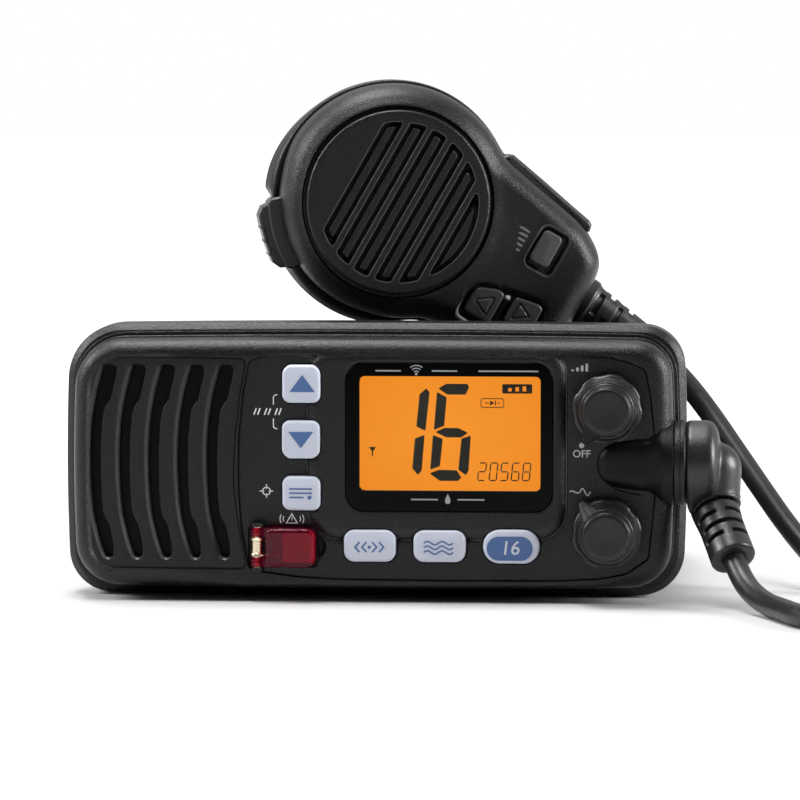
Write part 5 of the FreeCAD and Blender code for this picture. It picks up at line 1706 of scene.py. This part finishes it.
# hinge knuckles and the arms to them
for za, zb in ((8.9, 11.1), (16.3, 18.5)):
    seg = 40
    t = np.linspace(0, 2 * math.pi, seg, endpoint=False)
    rr = []
    for z, r in ((za, 0.96), (za, 1.35), (za + 0.12, 1.55), (za + 0.3, 1.6), ((za + zb) / 2 - 0.15, 1.6), ((za + zb) / 2, 1.42), ((za + zb) / 2 + 0.15, 1.6), (zb - 0.3, 1.6), (zb - 0.12, 1.55), (zb, 1.35), (zb, 0.96)):
        rr.append(np.stack([PX_ + r * np.cos(t), PY_ + r * np.sin(t), np.full(seg, z)], 1))
    k_ids = s.rings(rr)
    s.bridge(k_ids[-1], k_ids[0])
    arm_ = [(PX_ + 1.1, PY_ - 1.15), (PX_ + 1.9, -65.4), (FX0 + 4.3, -65.5), (FX0 + 4.3, -62.2), (PX_ + 1.2, PY_ + 1.0)]
    lo_, hi_ = [], []
    for (ax, ay) in arm_:
        lo_.append((ax, ay, za + 0.05)); hi_.append((ax, ay, zb - 0.05))
    a1, b1 = s.points(lo_), s.points(hi_)
    s.bridge(a1, b1); s.face(a1[::-1]); s.face(b1)
flap = build("distress_flap_shell", s, FLAP, "flap", sharp=40, merge=0.0005)
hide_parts("distress_flap")
# the solid pad under the flap's roof
s = Shape()
pd = rrect(-18.05, 13.7, 7.6, 7.1, 0.7, 5)
s.rings([on_face(offset(pd, 0.1), -63.05), on_face(pd, -63.15), on_face(pd, -64.6), on_face(offset(pd, 0.12), -64.78), on_face(offset(pd, 0.3), -64.84)], cap0=True, cap1=True)
build("flap_pad", s, PAD_RED, "flap")
# key under it
slab("distress_key_cap", rrect(-18.2, 13.7, 6.0, 6.8, 1.0, 6), -62.6, -57.75, 0.5, RED, "distress_key", crown=0.08)
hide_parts("distress_key")
# pin, barrel with a waist, spring arm
s = Shape()
seg = 48
t = np.linspace(0, 2 * math.pi, seg, endpoint=False)
for prof in ([(7.75, 0.2), (7.75, 0.75), (7.85, 0.88), (19.55, 0.88), (19.65, 0.75), (19.65, 0.2)],
             [(11.35, 0.95), (11.35, 1.45), (11.5, 1.6), (12.0, 1.6), (12.15, 1.5), (12.3, 1.34), (15.1, 1.34), (15.25, 1.5), (15.4, 1.6), (15.9, 1.6), (16.05, 1.45), (16.05, 0.95)]):
    s.rings([np.stack([PX_ + r * np.cos(t), PY_ + r * np.sin(t), np.full(seg, z)], 1) for z, r in prof], cap0=True, cap1=True)
pin = build("flap_pin_and_barrel", s, BRASS, "radio", sharp=35, merge=0.0005)
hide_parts("flap_hinge_pin")
arm_pts = [(-27.2, -64.9, 11.9), (-26.4, -64.6, 11.75), (-25.0, -62.9, 11.7), (-23.6, -61.2, 11.6), (-22.6, -60.6, 11.5)]
arm_c = []
for i_ in range(len(arm_pts) - 1):
    for k in range(6):
        arm_c.append(arr(arm_pts[i_]) + (arr(arm_pts[i_ + 1]) - arr(arm_pts[i_])) * k / 6)
arm_c.append(arr(arm_pts[-1]))
tube_mesh("flap_spring_arm", arm_c, 0.22, BRASS, "radio", seg=12)
# lugs that hold the pin
s = Shape()
for z in (7.7, 18.7):
    t = np.linspace(math.pi, 2 * math.pi, 18)
    lug = [(PX_ + 1.5 * math.cos(q), PY_ + 1.5 * math.sin(q)) for q in t] + [(PX_ + 1.5, -60.9), (PX_ - 1.5, -60.9)]
    a = s.points([(x, y, z) for x, y in lug]); b = s.points([(x, y, z + 1.0) for x, y in lug])
    s.bridge(a, b); s.face(a[::-1]); s.face(b)
lugs = build("flap_lugs", s, BLACK_SMOOTH, "radio")

# ------------------------------------------------------------------ hand microphone, in its own frame: head centre at 0, tail down, front towards -Y
MIC = Matrix.Translation((1.7, -10.2, 97.0)) @ Matrix.Rotation(math.radians(9.5), 4, "Z") @ Matrix.Rotation(math.radians(60.0), 4, Vector((0, -1, 0)))
MIC_BLACK = BLACK


def soften_loop(p, k=10, f=0.5):
    for _ in range(k):
        p = p * (1 - f) + (np.roll(p, 1, 0) + np.roll(p, -1, 0)) * (f / 2)
    return p


def mic_plan():
    arc = [(30.75 * math.cos(math.radians(a_)), 30.75 * math.sin(math.radians(a_))) for a_ in np.arange(-38.0, 218.01, 4.0)]
    p = arc + [(-22.9, -21.0), (-19.2, -45.2), (-13.4, -55.3), (13.4, -55.3), (19.45, -45.2), (24.0, -20.5)]
    p = rounded(p, [0] * len(arc) + [0, 8.5, 8.0, 8.0, 8.5, 0], 10)
    p = soften_loop(resample(p, 330), 14)
    return start_at(p, (0, 1))


MP = mic_plan()
if area2(MP) < 0:
    MP = MP[::-1].copy()
PK = rrect(8.4, -38.5, 8.9, 5.3, 1.35, 6)
PK_REC = rounded([(2.3, -35.0), (2.3, -43.1), (14.1, -43.1), (14.1, -35.0)][::-1], 2.0, 6)
UPK = rounded([(-15.3, -35.25), (-6.65, -35.25), (-6.35, -33.2), (-8.3, -28.3), (-10.2, -27.75), (-15.5, -27.75)], [1.0, 1.3, 2.0, 2.6, 2.0, 1.3], 5)
DNK = rounded([(-12.9, -37.95), (-5.75, -37.95), (-4.6, -44.2), (-5.2, -45.5), (-12.2, -45.5)], [1.0, 1.0, 1.1, 1.1, 1.3], 5)
UD_REC = rounded([(-17.2, -26.6), (-17.4, -31.0), (-14.9, -46.9), (-4.6, -46.9), (-3.3, -44.0), (-5.2, -34.0), (-7.2, -27.9), (-9.8, -26.55)], [1.6, 5.0, 2.0, 1.9, 2.0, 5.0, 3.0, 2.0], 6)
PK, PK_REC, UPK, DNK, UD_REC = [ccw(q) for q in (PK, PK_REC, UPK, DNK, UD_REC)]
ang_ = np.degrees(np.arctan2(MP[:, 1], MP[:, 0])) % 360
MPF = MP + (offset(MP, 1.0) - MP) * (0.8 * smoothstep(82, 112, ang_) * (1 - smoothstep(192, 218, ang_)))[:, None]
DISC_R, GROOVE_R = 23.2, 24.35
D0, ROLL, TOPY = 0.85, 5.6, -14.35

s = Shape()
prof = [(-0.35, 1.9), (-0.35, 1.15), (-0.45, 0.98), (-0.75, 0.84), (-3.0, 0.86), (-5.4, 0.95)]
rings = [on_face(offset(MPF, d_), y_) for y_, d_ in prof]


def roll(q):
    """Depth of the shoulder at a distance q inside the outline."""
    c_ = np.clip((1.0 + ROLL - q) / ROLL, 0, 1)
    return -5.9 - (abs(TOPY) - 5.9) * np.sqrt(1 - c_ * c_)


EDGE_D = 4.55
for q_ in (1.02, 1.06, 1.13, 1.23, 1.37, 1.55, 1.78, 2.05, 2.38, 2.75, 3.15, 3.6, 4.05, EDGE_D):
    rings.append(on_face(offset(MPF, q_), float(roll(q_))))
s.rings(rings)
edge_loop = offset(MPF, EDGE_D)


def recess(P, loop, depth, wall, lip=0.35):
    """A sunk field with a soft lip: 0 outside, depth inside."""
    q = sdf(P, loop)
    return depth * smoothstep(0.0, -wall, q) - 0.10 * np.exp(-((q - lip) / 0.45) ** 2)


def mic_height(P):
    r = np.hypot(P[:, 0], P[:, 1])
    inner = np.clip(-sdf(P, edge_loop), 0, None)
    h = roll(EDGE_D + inner)
    h = h + 0.55 * smoothstep(2.0, 11.0, inner) * smoothstep(24, 34, r)
    h = h - 0.45 * np.exp(-np.clip(r - GROOVE_R, 0, None) ** 2 / 3.6) * smoothstep(0, 1.6, inner)
    g = np.clip(GROOVE_R - r, 0, None)
    h = h + 1.9 * smoothstep(0, 0.5, g) * (r < GROOVE_R + 0.01)
    h = h + recess(P, PK_REC, 1.25, 0.9)
    h = h + recess(P, UD_REC, 1.45, 1.1)
    bar = sdf(P, ccw(arr([(-14.2, -35.85), (-14.2, -37.35), (-7.0, -37.35), (-7.0, -35.85)])))
    h = h - 0.95 * smoothstep(0.25, -0.1, bar)
    return h


cons = [circle(0, 0, GROOVE_R + e_, 120) for e_ in (1.5, 0.75, 0.25, 0.0, -0.25, -0.5)]
cons = [q for q in cons if sdf(q, edge_loop).max() < -0.02]
free = []
for lp_, es_ in ((PK_REC, (0.8, 0.35, 0.0, -0.3, -0.6, -0.9)), (UD_REC, (0.8, 0.35, 0.0, -0.37, -0.74, -1.1))):
    free += [offset(densify(lp_, 0.8), -e_) for e_ in es_]
free = [q for q in free if sdf(q, edge_loop).max() < -0.02]
hole = circle(0, 0, 22.6, 120)
vv, ff = plate(cons + free, edge_loop, [hole], None, grid=0.9, margin=0.2)
ids = s.points(on_face(vv, mic_height(vv)))
cen_q = sdf(vv[ff].mean(1), UD_REC), sdf(vv[ff].mean(1), PK_REC)
# faces on the lip round the power key's recess take the lighter edge black: a painted highlight
for i_, f_ in enumerate(ff):
    lip_ = -0.28 < cen_q[1][i_] < 0.3
    s.face([ids[k] for k in f_], 1 if lip_ else 0)
he = s.points(on_face(hole, -12.2)); hb = s.points(on_face(hole, -11.2))
s.bridge(he, hb)
shell = build("mic_front_cover", s, [MIC_BLACK, BLACK_PAINTED_HIGHLIGHT], "microphone", sharp=48, matrix=MIC, merge=0.02)
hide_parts("mic_front_shell")
print("microphone rings kept", len(cons), len(free), "faces", len(s.f))

# ------------------------------------------------------------------ rear half
MSC = [(-15.5, 11.5), (15.5, 11.5), (-8.6, -42.0), (8.6, -42.0)]
s = Shape()
prof = [(0.35, 2.2), (0.05, 1.6), (-0.05, 0.75), (0.1, 0.3), (0.45, 0.06), (1.0, 0.0), (4.6, 0.0), (5.1, 0.05), (5.35, 0.35), (5.75, 0.38), (6.1, 0.12), (7.2, 0.3), (8.6, 0.72), (10.0, 1.35), (11.4, 2.2), (12.8, 3.3), (14.0, 4.5), (15.0, 5.8), (15.7, 7.0)]
ang_ = np.degrees(np.arctan2(MP[:, 1], MP[:, 0])) % 360
bul_ = smoothstep(128, 150, ang_) * (1 - smoothstep(196, 214, ang_)) + 1.25 * smoothstep(62, 110, ang_) * (1 - smoothstep(113, 119, ang_))
nrm_ = offset(MP, -1.0) - MP
s.rings([on_face(offset(MP, d_) + nrm_ * (1.3 * bul_ * (smoothstep(0.3, 2.2, y_) if y_ < 6 else max(0, 1 - (y_ - 6) / 6.0)))[:, None], y_) for y_, d_ in prof])
back_loop = offset(MP, 7.0)


def rear_height(P):
    q = np.clip(-sdf(P, back_loop), 0, None)
    h = 15.7 + 1.3 * (1 - np.exp(-q / 2.6))
    for x_, z_ in MSC:
        r = np.hypot(P[:, 0] - x_, P[:, 1] - z_)
        h = h - 1.7 * smoothstep(3.35, 2.85, r)
    r = np.hypot(P[:, 0], P[:, 1])
    h = h - 0.5 * smoothstep(8.9, 8.3, r) + 0.7 * smoothstep(4.9, 4.5, r)
    # raised bars that stop the microphone from slipping
    for k in range(5):
        z0 = -18.0 - 4.2 * k
        h = h + 0.35 * smoothstep(0.95, 0.55, np.abs(P[:, 1] - z0)) * smoothstep(9.6 - 0.3 * k, 9.0 - 0.3 * k, np.abs(P[:, 0]))
    return h


cons = []
for x_, z_ in MSC:
    cons += [circle(x_, z_, r_, 28) for r_ in (3.4, 3.1, 2.82)]
cons += [circle(0, 0, r_, 64) for r_ in (9.0, 8.6, 8.25, 5.0, 4.7, 4.45)]
for k in range(5):
    z0 = -18.0 - 4.2 * k
    cons += [rrect(0, z0, 2 * (9.3 - 0.3 * k) + e_, 1.5 + e_, 0.45, 4) for e_ in (0.45, -0.35)]
vv, ff = plate(cons, back_loop, [], None, grid=1.3, margin=0.25)
ids = s.points(on_face(vv, rear_height(vv)))
for f_ in ff:
    s.face([ids[k] for k in f_])
rear = build("mic_rear_cover", s, MIC_BLACK, "microphone", sharp=48, matrix=MIC, merge=0.02)
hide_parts("mic_rear_shell")

# ------------------------------------------------------------------ slotted disc
SLOT_R = 20.3
SLOT_Z = [11.05, 5.3, -0.35, -6.2, -11.9]
FACE_Y = -16.35


def slot_loop(zc, d, hw=2.18):
    """The outline of one slot moved inwards by d: a band across the disc, cut by a circle."""
    R = SLOT_R - d
    a, b = zc + hw - d, zc - hw + d
    xa, xb = math.sqrt(R * R - a * a), math.sqrt(R * R - b * b)
    ta, tb = math.atan2(a, xa), math.atan2(b, xb)
    right = [(R * math.cos(q), R * math.sin(q)) for q in np.linspace(tb, ta, 6)]
    left = [(-x_, z_) for x_, z_ in right[::-1]]
    pts_ = right + left
    r_ = max(1.75 - d, 0.45)
    rad = [r_, 0, 0, 0, 0, r_, r_, 0, 0, 0, 0, r_]
    # keep the arc's inner points away from the rounded corners
    keep = [0, 2, 3, 5, 6, 8, 9, 11] if abs(b - a) > 2.2 else [0, 5, 6, 11]
    return ccw(rounded([pts_[k] for k in keep], [rad[k] for k in keep], 6))


def crescent(d):
    R = SLOT_R - d
    a = -15.55 - d
    xa = math.sqrt(R * R - a * a)
    t0 = math.atan2(a, xa)
    arc_ = [(R * math.cos(q), R * math.sin(q)) for q in np.linspace(t0, -math.pi - t0, 15)]
    keep = [0] + list(range(2, 13)) + [14]
    r_ = max(1.3 - d, 0.35)
    return ccw(rounded([arc_[k] for k in keep], [r_] + [0] * (len(keep) - 2) + [r_], 6))


INSETS = (0.0, 0.10, 0.26, 1.18, 1.32, 1.44)
slots_ = [[slot_loop(z_, d_) for d_ in INSETS] for z_ in SLOT_Z] + [[crescent(d_) for d_ in INSETS]]
s = Shape()
nd = 160
s.rings([on_face(circle(0, 0, r_, nd), y_) for y_, r_ in ((-12.4, 22.4), (-12.4, DISC_R), (-15.55, DISC_R), (-15.85, DISC_R - 0.05), (-16.1, DISC_R - 0.2), (-16.27, DISC_R - 0.42), (FACE_Y, DISC_R - 0.75))])
disc_loop = circle(0, 0, DISC_R - 0.75, nd)


def disc_height(P):
    r = np.hypot(P[:, 0], P[:, 1])
    h = FACE_Y + 0.10 * (r / 22.0) ** 2 * 0 + np.zeros(len(P))
    for lp in slots_:
        q = -sdf(P, lp[0])
        near = q > -0.5
        if not near.any():
            continue
        qq = q[near]
        # outside lip, wall, floor, wall, bar top
        x_ = [-0.35, 0.0, 0.10, 0.26, 1.18, 1.32, 1.44, 2.0]
        y_ = [0.0, 0.03, 0.16, 1.9, 1.9, 0.28, 0.10, 0.05]
        h[near] += np.interp(qq, x_, y_)
    return h


cons = [l_ for lp in slots_ for l_ in lp] + [offset(lp[0], -0.16) for lp in slots_]
cons = [densify(l_, 2.0) for l_ in cons]
vv, ff = plate(cons, disc_loop, [], None, grid=1.6, margin=0.22)
ids = s.points(on_face(vv, disc_height(vv)))
cq = vv[ff].mean(1)
depth_in = np.max([-sdf(cq, lp[0]) for lp in slots_], axis=0)
# the walls and floors of the slots take the near-black grille colour, a painted shade, and the rounded edges at both
# ends of the walls the lighter edge black, a painted highlight
for i_, f_ in enumerate(ff):
    q_ = depth_in[i_]
    s.face([ids[k] for k in f_], 1 if 0.1 < q_ < 1.28 else 2 if (-0.16 < q_ <= 0.1 or 1.28 <= q_ < 1.44) else 0)
disc = build("mic_grille_disc", s, [MIC_BLACK, SHADOW, BLACK_PAINTED_HIGHLIGHT], "microphone", sharp=30, matrix=MIC, merge=0.004)
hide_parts("mic_grille")


# ------------------------------------------------------------------ keys
def mic_key(name, loop, body, mat, y0, mark=None, depth=0.28, crown=0.18):
    """A soft key with an outline mark sunk into its top."""
    s = Shape()
    lp = densify(loop, 0.7)
    rings = [on_face(offset(lp, -0.12), -12.6), on_face(lp, -13.0)]
    for k in range(0, 7):
        a_ = math.pi / 2 * k / 6
        rings.append(on_face(offset(lp, 0.62 * (1 - math.cos(a_))), y0 + 0.75 * (1 - math.sin(a_))))
    s.rings(rings, cap0=True)
    top = offset(lp, 0.62)
    cen = top.mean(0)

    def height(P):
        q = np.clip(-sdf(P, top), 0, None)
        h = y0 - crown * smoothstep(0, 2.6, q)
        if mark is not None:
            m_ = np.abs(sdf(P, mark))
            h = h + depth * smoothstep(0.36, 0.16, m_)
        return h

    cons = []
    if mark is not None:
        dm = densify(mark, 0.6)
        cons = [offset(dm, e_) for e_ in (-0.38, -0.16, 0.16, 0.38)]
    vv, ff = plate(cons, top, [], None, grid=0.6, margin=0.12)
    ids = s.points(on_face(vv, height(vv)))
    for f_ in ff:
        s.face([ids[k] for k in f_])
    o = build(name, s, mat, body, sharp=50, matrix=MIC, merge=0.003)
    return o


UPT = ccw(rounded([(-11.6, -29.15), (-8.55, -33.35), (-13.7, -33.35)], 0.30, 4))
DNT = ccw(rounded([(-11.3, -39.4), (-6.7, -39.4), (-8.6, -43.3)], 0.30, 4))
up_cap = mic_key("mic_up_cap", UPK, "mic_up_key", RUBBER_GREY, -15.0, UPT)
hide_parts("mic_up_key")
down_cap = mic_key("mic_down_cap", DNK, "mic_down_key", RUBBER_GREY, -15.0, DNT)
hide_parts("mic_down_key")
power_cap = mic_key("mic_power_cap", PK, "mic_power_key", GREYKEY, -15.0, None, crown=0.30)
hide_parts("mic_power_key")

# the raised lip on the outer side of the arrow keys' recess, in pale grey: a painted highlight
s = Shape()
lp_ = densify(offset(UD_REC, -0.15), 0.5)
k_ = [i for i in range(len(lp_)) if lp_[i][0] < -13.6]
st_ = next(i for i in range(len(k_)) if (k_[i] - 1) % len(lp_) not in k_)
k_ = k_[st_:] + k_[:st_]
run = lp_[k_]
u_ = np.linspace(0, 1, len(run))
taper = np.minimum(1, np.minimum(u_, 1 - u_) * 7)
c3 = on_face(run, mic_height(run) + 0.12)
t_ = np.gradient(c3, axis=0); t_ /= np.linalg.norm(t_, axis=1, keepdims=True)
n_ = np.cross(t_, [0, -1.0, 0]); n_ /= np.linalg.norm(n_, axis=1, keepdims=True)
rid = []
for a_ in np.linspace(0, 180, 9):
    rid.append(s.points(c3 + n_ * (0.50 * taper * math.cos(math.radians(a_)))[:, None] + arr([0, -1, 0]) * (0.46 * taper * math.sin(math.radians(a_)))[:, None]))
for q1, q2 in zip(rid[:-1], rid[1:]):
    s.bridge(q1, q2, False)
s.bridge(rid[-1], rid[0], False)
build("mic_recess_lip_glint", s, GLINT, "microphone", sharp=80, weighted=False, matrix=MIC)

# a plain pair of bars, short and tall, beside the power key, and a small dome between the arrow keys, in pale grey: a
# painted glint
s = Shape()
for x_, w_, h_ in ((4.4, 0.62, 1.0), (5.75, 0.62, 1.5), (7.1, 0.62, 2.0), (8.45, 0.62, 2.5), (9.8, 0.62, 3.0)):
    flat_mark(s, arr([(x_, -32.9), (x_ + w_, -32.9), (x_ + w_, -32.9 + h_), (x_, -32.9 + h_)]), float(mic_height(arr([(x_, -32.0)]))[0]) - 0.05, 0.09)
panel_mark("mic_power_mark", s, PRINT_DIM, "microphone", matrix=MIC)
s = Shape()
revolve(s, [(0, 0.72), (0.5, 0.7), (0.75, 0.6), (0.92, 0.42), (1.0, 0.2), (1.02, 0.02)], (-7.15, -13.4, -36.2), (0, -1, 0), 24)
build("mic_key_glint_dome", s, GLINT, "microphone", sharp=50, matrix=MIC)

# ------------------------------------------------------------------ push-to-talk key: a bezel and a ribbed bar
UR = arr([math.cos(math.radians(136)), math.sin(math.radians(136))])
UT = arr([-math.sin(math.radians(136)), math.cos(math.radians(136))])


def at_side(tr):
    """(t, r) along the rim to the microphone's (x, z)."""
    tr = arr(tr)
    return tr[:, :1] * UT + tr[:, 1:] * UR


def pill(shape, loop, y0, y1, r, n=5):
    """A plate with both its edges rounded by r."""
    rings = []
    for k in range(n + 1):
        a_ = math.pi / 2 * k / n
        rings.append(on_face(offset(loop, r * (1 - math.sin(a_))), y0 + r * (1 - math.cos(a_))))
    for k in range(n, -1, -1):
        a_ = math.pi / 2 * k / n
        rings.append(on_face(offset(loop, r * (1 - math.sin(a_))), y1 - r * (1 - math.cos(a_))))
    shape.rings(rings, cap0=True, cap1=True)


s = Shape()
bez = [(t_, 32.15 - 0.030 * t_ * t_ / 1.9) for t_ in np.linspace(-8.6, 8.6, 15)]
bez = bez + [(9.3, 29.9), (9.1, 27.0), (-9.1, 27.0), (-9.3, 29.9)]
bez = ccw(rounded(at_side(bez), [1.0] + [0] * 13 + [1.0, 0.8, 0.8, 0.8, 0.8], 5))
pill(s, densify(bez, 0.8), -5.4, 5.4, 0.75)
bar_ = []
for t_ in np.linspace(-8.0, 8.2, 82):
    r_ = 34.55 - 0.0125 * (t_ + 0.4) ** 2
    r_ -= 1.1 * smoothstep(5.9, 8.3, abs(t_ - 0.1))
    for c_ in (-2.9, 0.7, 4.2):
        r_ += 0.32 * math.exp(-((t_ - c_) / 0.32) ** 2)
    r_ -= 0.14 * smoothstep(-4.4, -2.9, t_) * (1 - smoothstep(4.2, 5.6, t_))
    bar_.append((t_, min(r_, 34.75)))
bar_ = bar_ + [(8.6, 30.5), (8.5, 28.0), (-8.4, 28.0), (-8.4, 30.5)]
bar_loop = ccw(at_side(bar_))
pill(s, bar_loop, -4.55, 4.55, 0.8)
ptt = build("ptt_bar", s, RUBBER_GREY, "ptt_key", sharp=42, matrix=MIC, merge=0.003)
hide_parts("ptt_key")

# ------------------------------------------------------------------ rubber strip on the other side
s = Shape()
pad_ = ccw(rounded([(22.6, -17.7), (24.6, -19.2), (25.35, -20.6), (23.55, -30.5), (21.45, -41.0), (20.55, -45.9), (19.9, -47.0), (17.6, -47.5)], [0.6, 1.2, 1.0, 0, 0, 1.0, 0.9, 0.6], 5))
pill(s, densify(pad_, 0.9), -5.2, 4.9, 1.15, 7)
for sy in (-1, 1):
    pass
pad = build("mic_side_strip", s, RUBBER_GREY, "microphone", sharp=42, matrix=MIC, merge=0.003)
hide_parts("mic_side_pad")

# ------------------------------------------------------------------ stud that the hanger holds
s = Shape()
revolve(s, [(0, 2.98), (5.2, 2.98), (8.6, 2.98), (9.1, 3.3), (9.12, 5.9), (9.3, 6.3), (9.7, 6.5), (10.4, 6.5), (10.9, 6.3), (11.2, 5.9), (11.3, 5.2), (11.3, 2.4), (11.1, 2.1), (10.2, 2.0), (10.2, 0.1)], (0, 11.5, 0), (0, 1, 0), 56)
stud = build("mic_hang_stud", s, BLACK_SMOOTH, "microphone", sharp=35, matrix=MIC)
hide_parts("mic_stud")

# ------------------------------------------------------------------ strain relief at the tail: a collar, then rings of teeth
MB0 = MIC @ Vector((2.2, 1.0, -54.5))
MB1 = Vector(MIC_CORD[0])
MBD = (MB1 - MB0).normalized()
MBL = (MB1 - MB0).length + 0.5
mu_ = (Vector((0.1, -1, 0.35)) - MBD * Vector((0.1, -1, 0.35)).dot(MBD)).normalized()
mw_ = MBD.cross(mu_).normalized()
seg_m = 112
thm = np.linspace(-math.pi, math.pi, seg_m, endpoint=False)


def mic_boot_ring(x):
    """x is the distance along the relief."""
    base = 6.0 - 2.0 * x / MBL
    r = np.full(seg_m, base)
    if x < 3.3:
        r = np.full(seg_m, 6.35 - 0.55 * smoothstep(2.2, 3.0, x) + 0.12 * math.sin(x * 2.2) * 0)
    # grooves that cut the outside into teeth; every second one is turned by half a turn
    for k, c_ in enumerate((4.3, 7.2, 10.1, 13.0)):
        deep = smoothstep(c_ - 0.85, c_ - 0.6, x) * (1 - smoothstep(c_ + 0.6, c_ + 0.85, x))
        if k % 2 == 0:
            mask = 1 - (smoothstep(1.2, 1.34, np.abs(thm)) * (1 - smoothstep(1.8, 1.94, np.abs(thm)))) * 0
            mask = smoothstep(0.62, 0.50, np.abs(thm)) + smoothstep(1.05, 1.2, np.abs(thm)) * (1 - smoothstep(1.95, 2.1, np.abs(thm))) + smoothstep(2.5, 2.65, np.abs(thm))
        else:
            mask = smoothstep(0.45, 0.6, np.abs(thm)) * (1 - smoothstep(2.5, 2.65, np.abs(thm)))
        r = r - (0.95 - 0.02 * x) * float(deep) * mask
    return r


xs_b = sorted(set([round(float(q), 3) for q in np.linspace(-1.6, MBL, 46)] + [round(c_ + e_, 3) for c_ in (4.3, 7.2, 10.1, 13.0) for e_ in (-0.9, -0.8, -0.7, -0.6, -0.5, 0.5, 0.6, 0.7, 0.8, 0.9)] + [2.1, 2.3, 2.6, 2.9, 3.1, 3.3]))
rings = []
for x_ in xs_b:
    q = MB0 + MBD * x_
    r = mic_boot_ring(max(x_, 0))
    e_ = MBL - x_
    if e_ < 0.6:
        r = r - (0.6 - math.sqrt(max(0.36 - (0.6 - e_) ** 2, 0)))
    rings.append([q + (mu_ * math.cos(a_) + mw_ * math.sin(a_)) * float(rr) for a_, rr in zip(thm, r)])
for r_, dz_ in ((3.15, 0.02), (2.98, -0.4)):
    q = MB0 + MBD * (MBL + dz_)
    rings.append([q + (mu_ * math.cos(a_) + mw_ * math.sin(a_)) * r_ for a_ in thm])
s = Shape()
s.rings(rings, cap0=True, cap1=True)
mic_relief = build("mic_strain_relief", s, RUBBER, "microphone", sharp=40, merge=0.002)
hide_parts("mic_boot")

# ------------------------------------------------------------------ cord: one tube from the plug round the put-away turns to the microphone
wide = []
for k, q in enumerate(line):
    wide.append(q)
cord_pts = arr(wide)
cord_tube = tube_mesh("microphone_cord", cord_pts, CORD_R, CORD, None, seg=20)
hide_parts("cord_plug_lead", "cord_mic_lead", "cord_coil")
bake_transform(cord_tube)
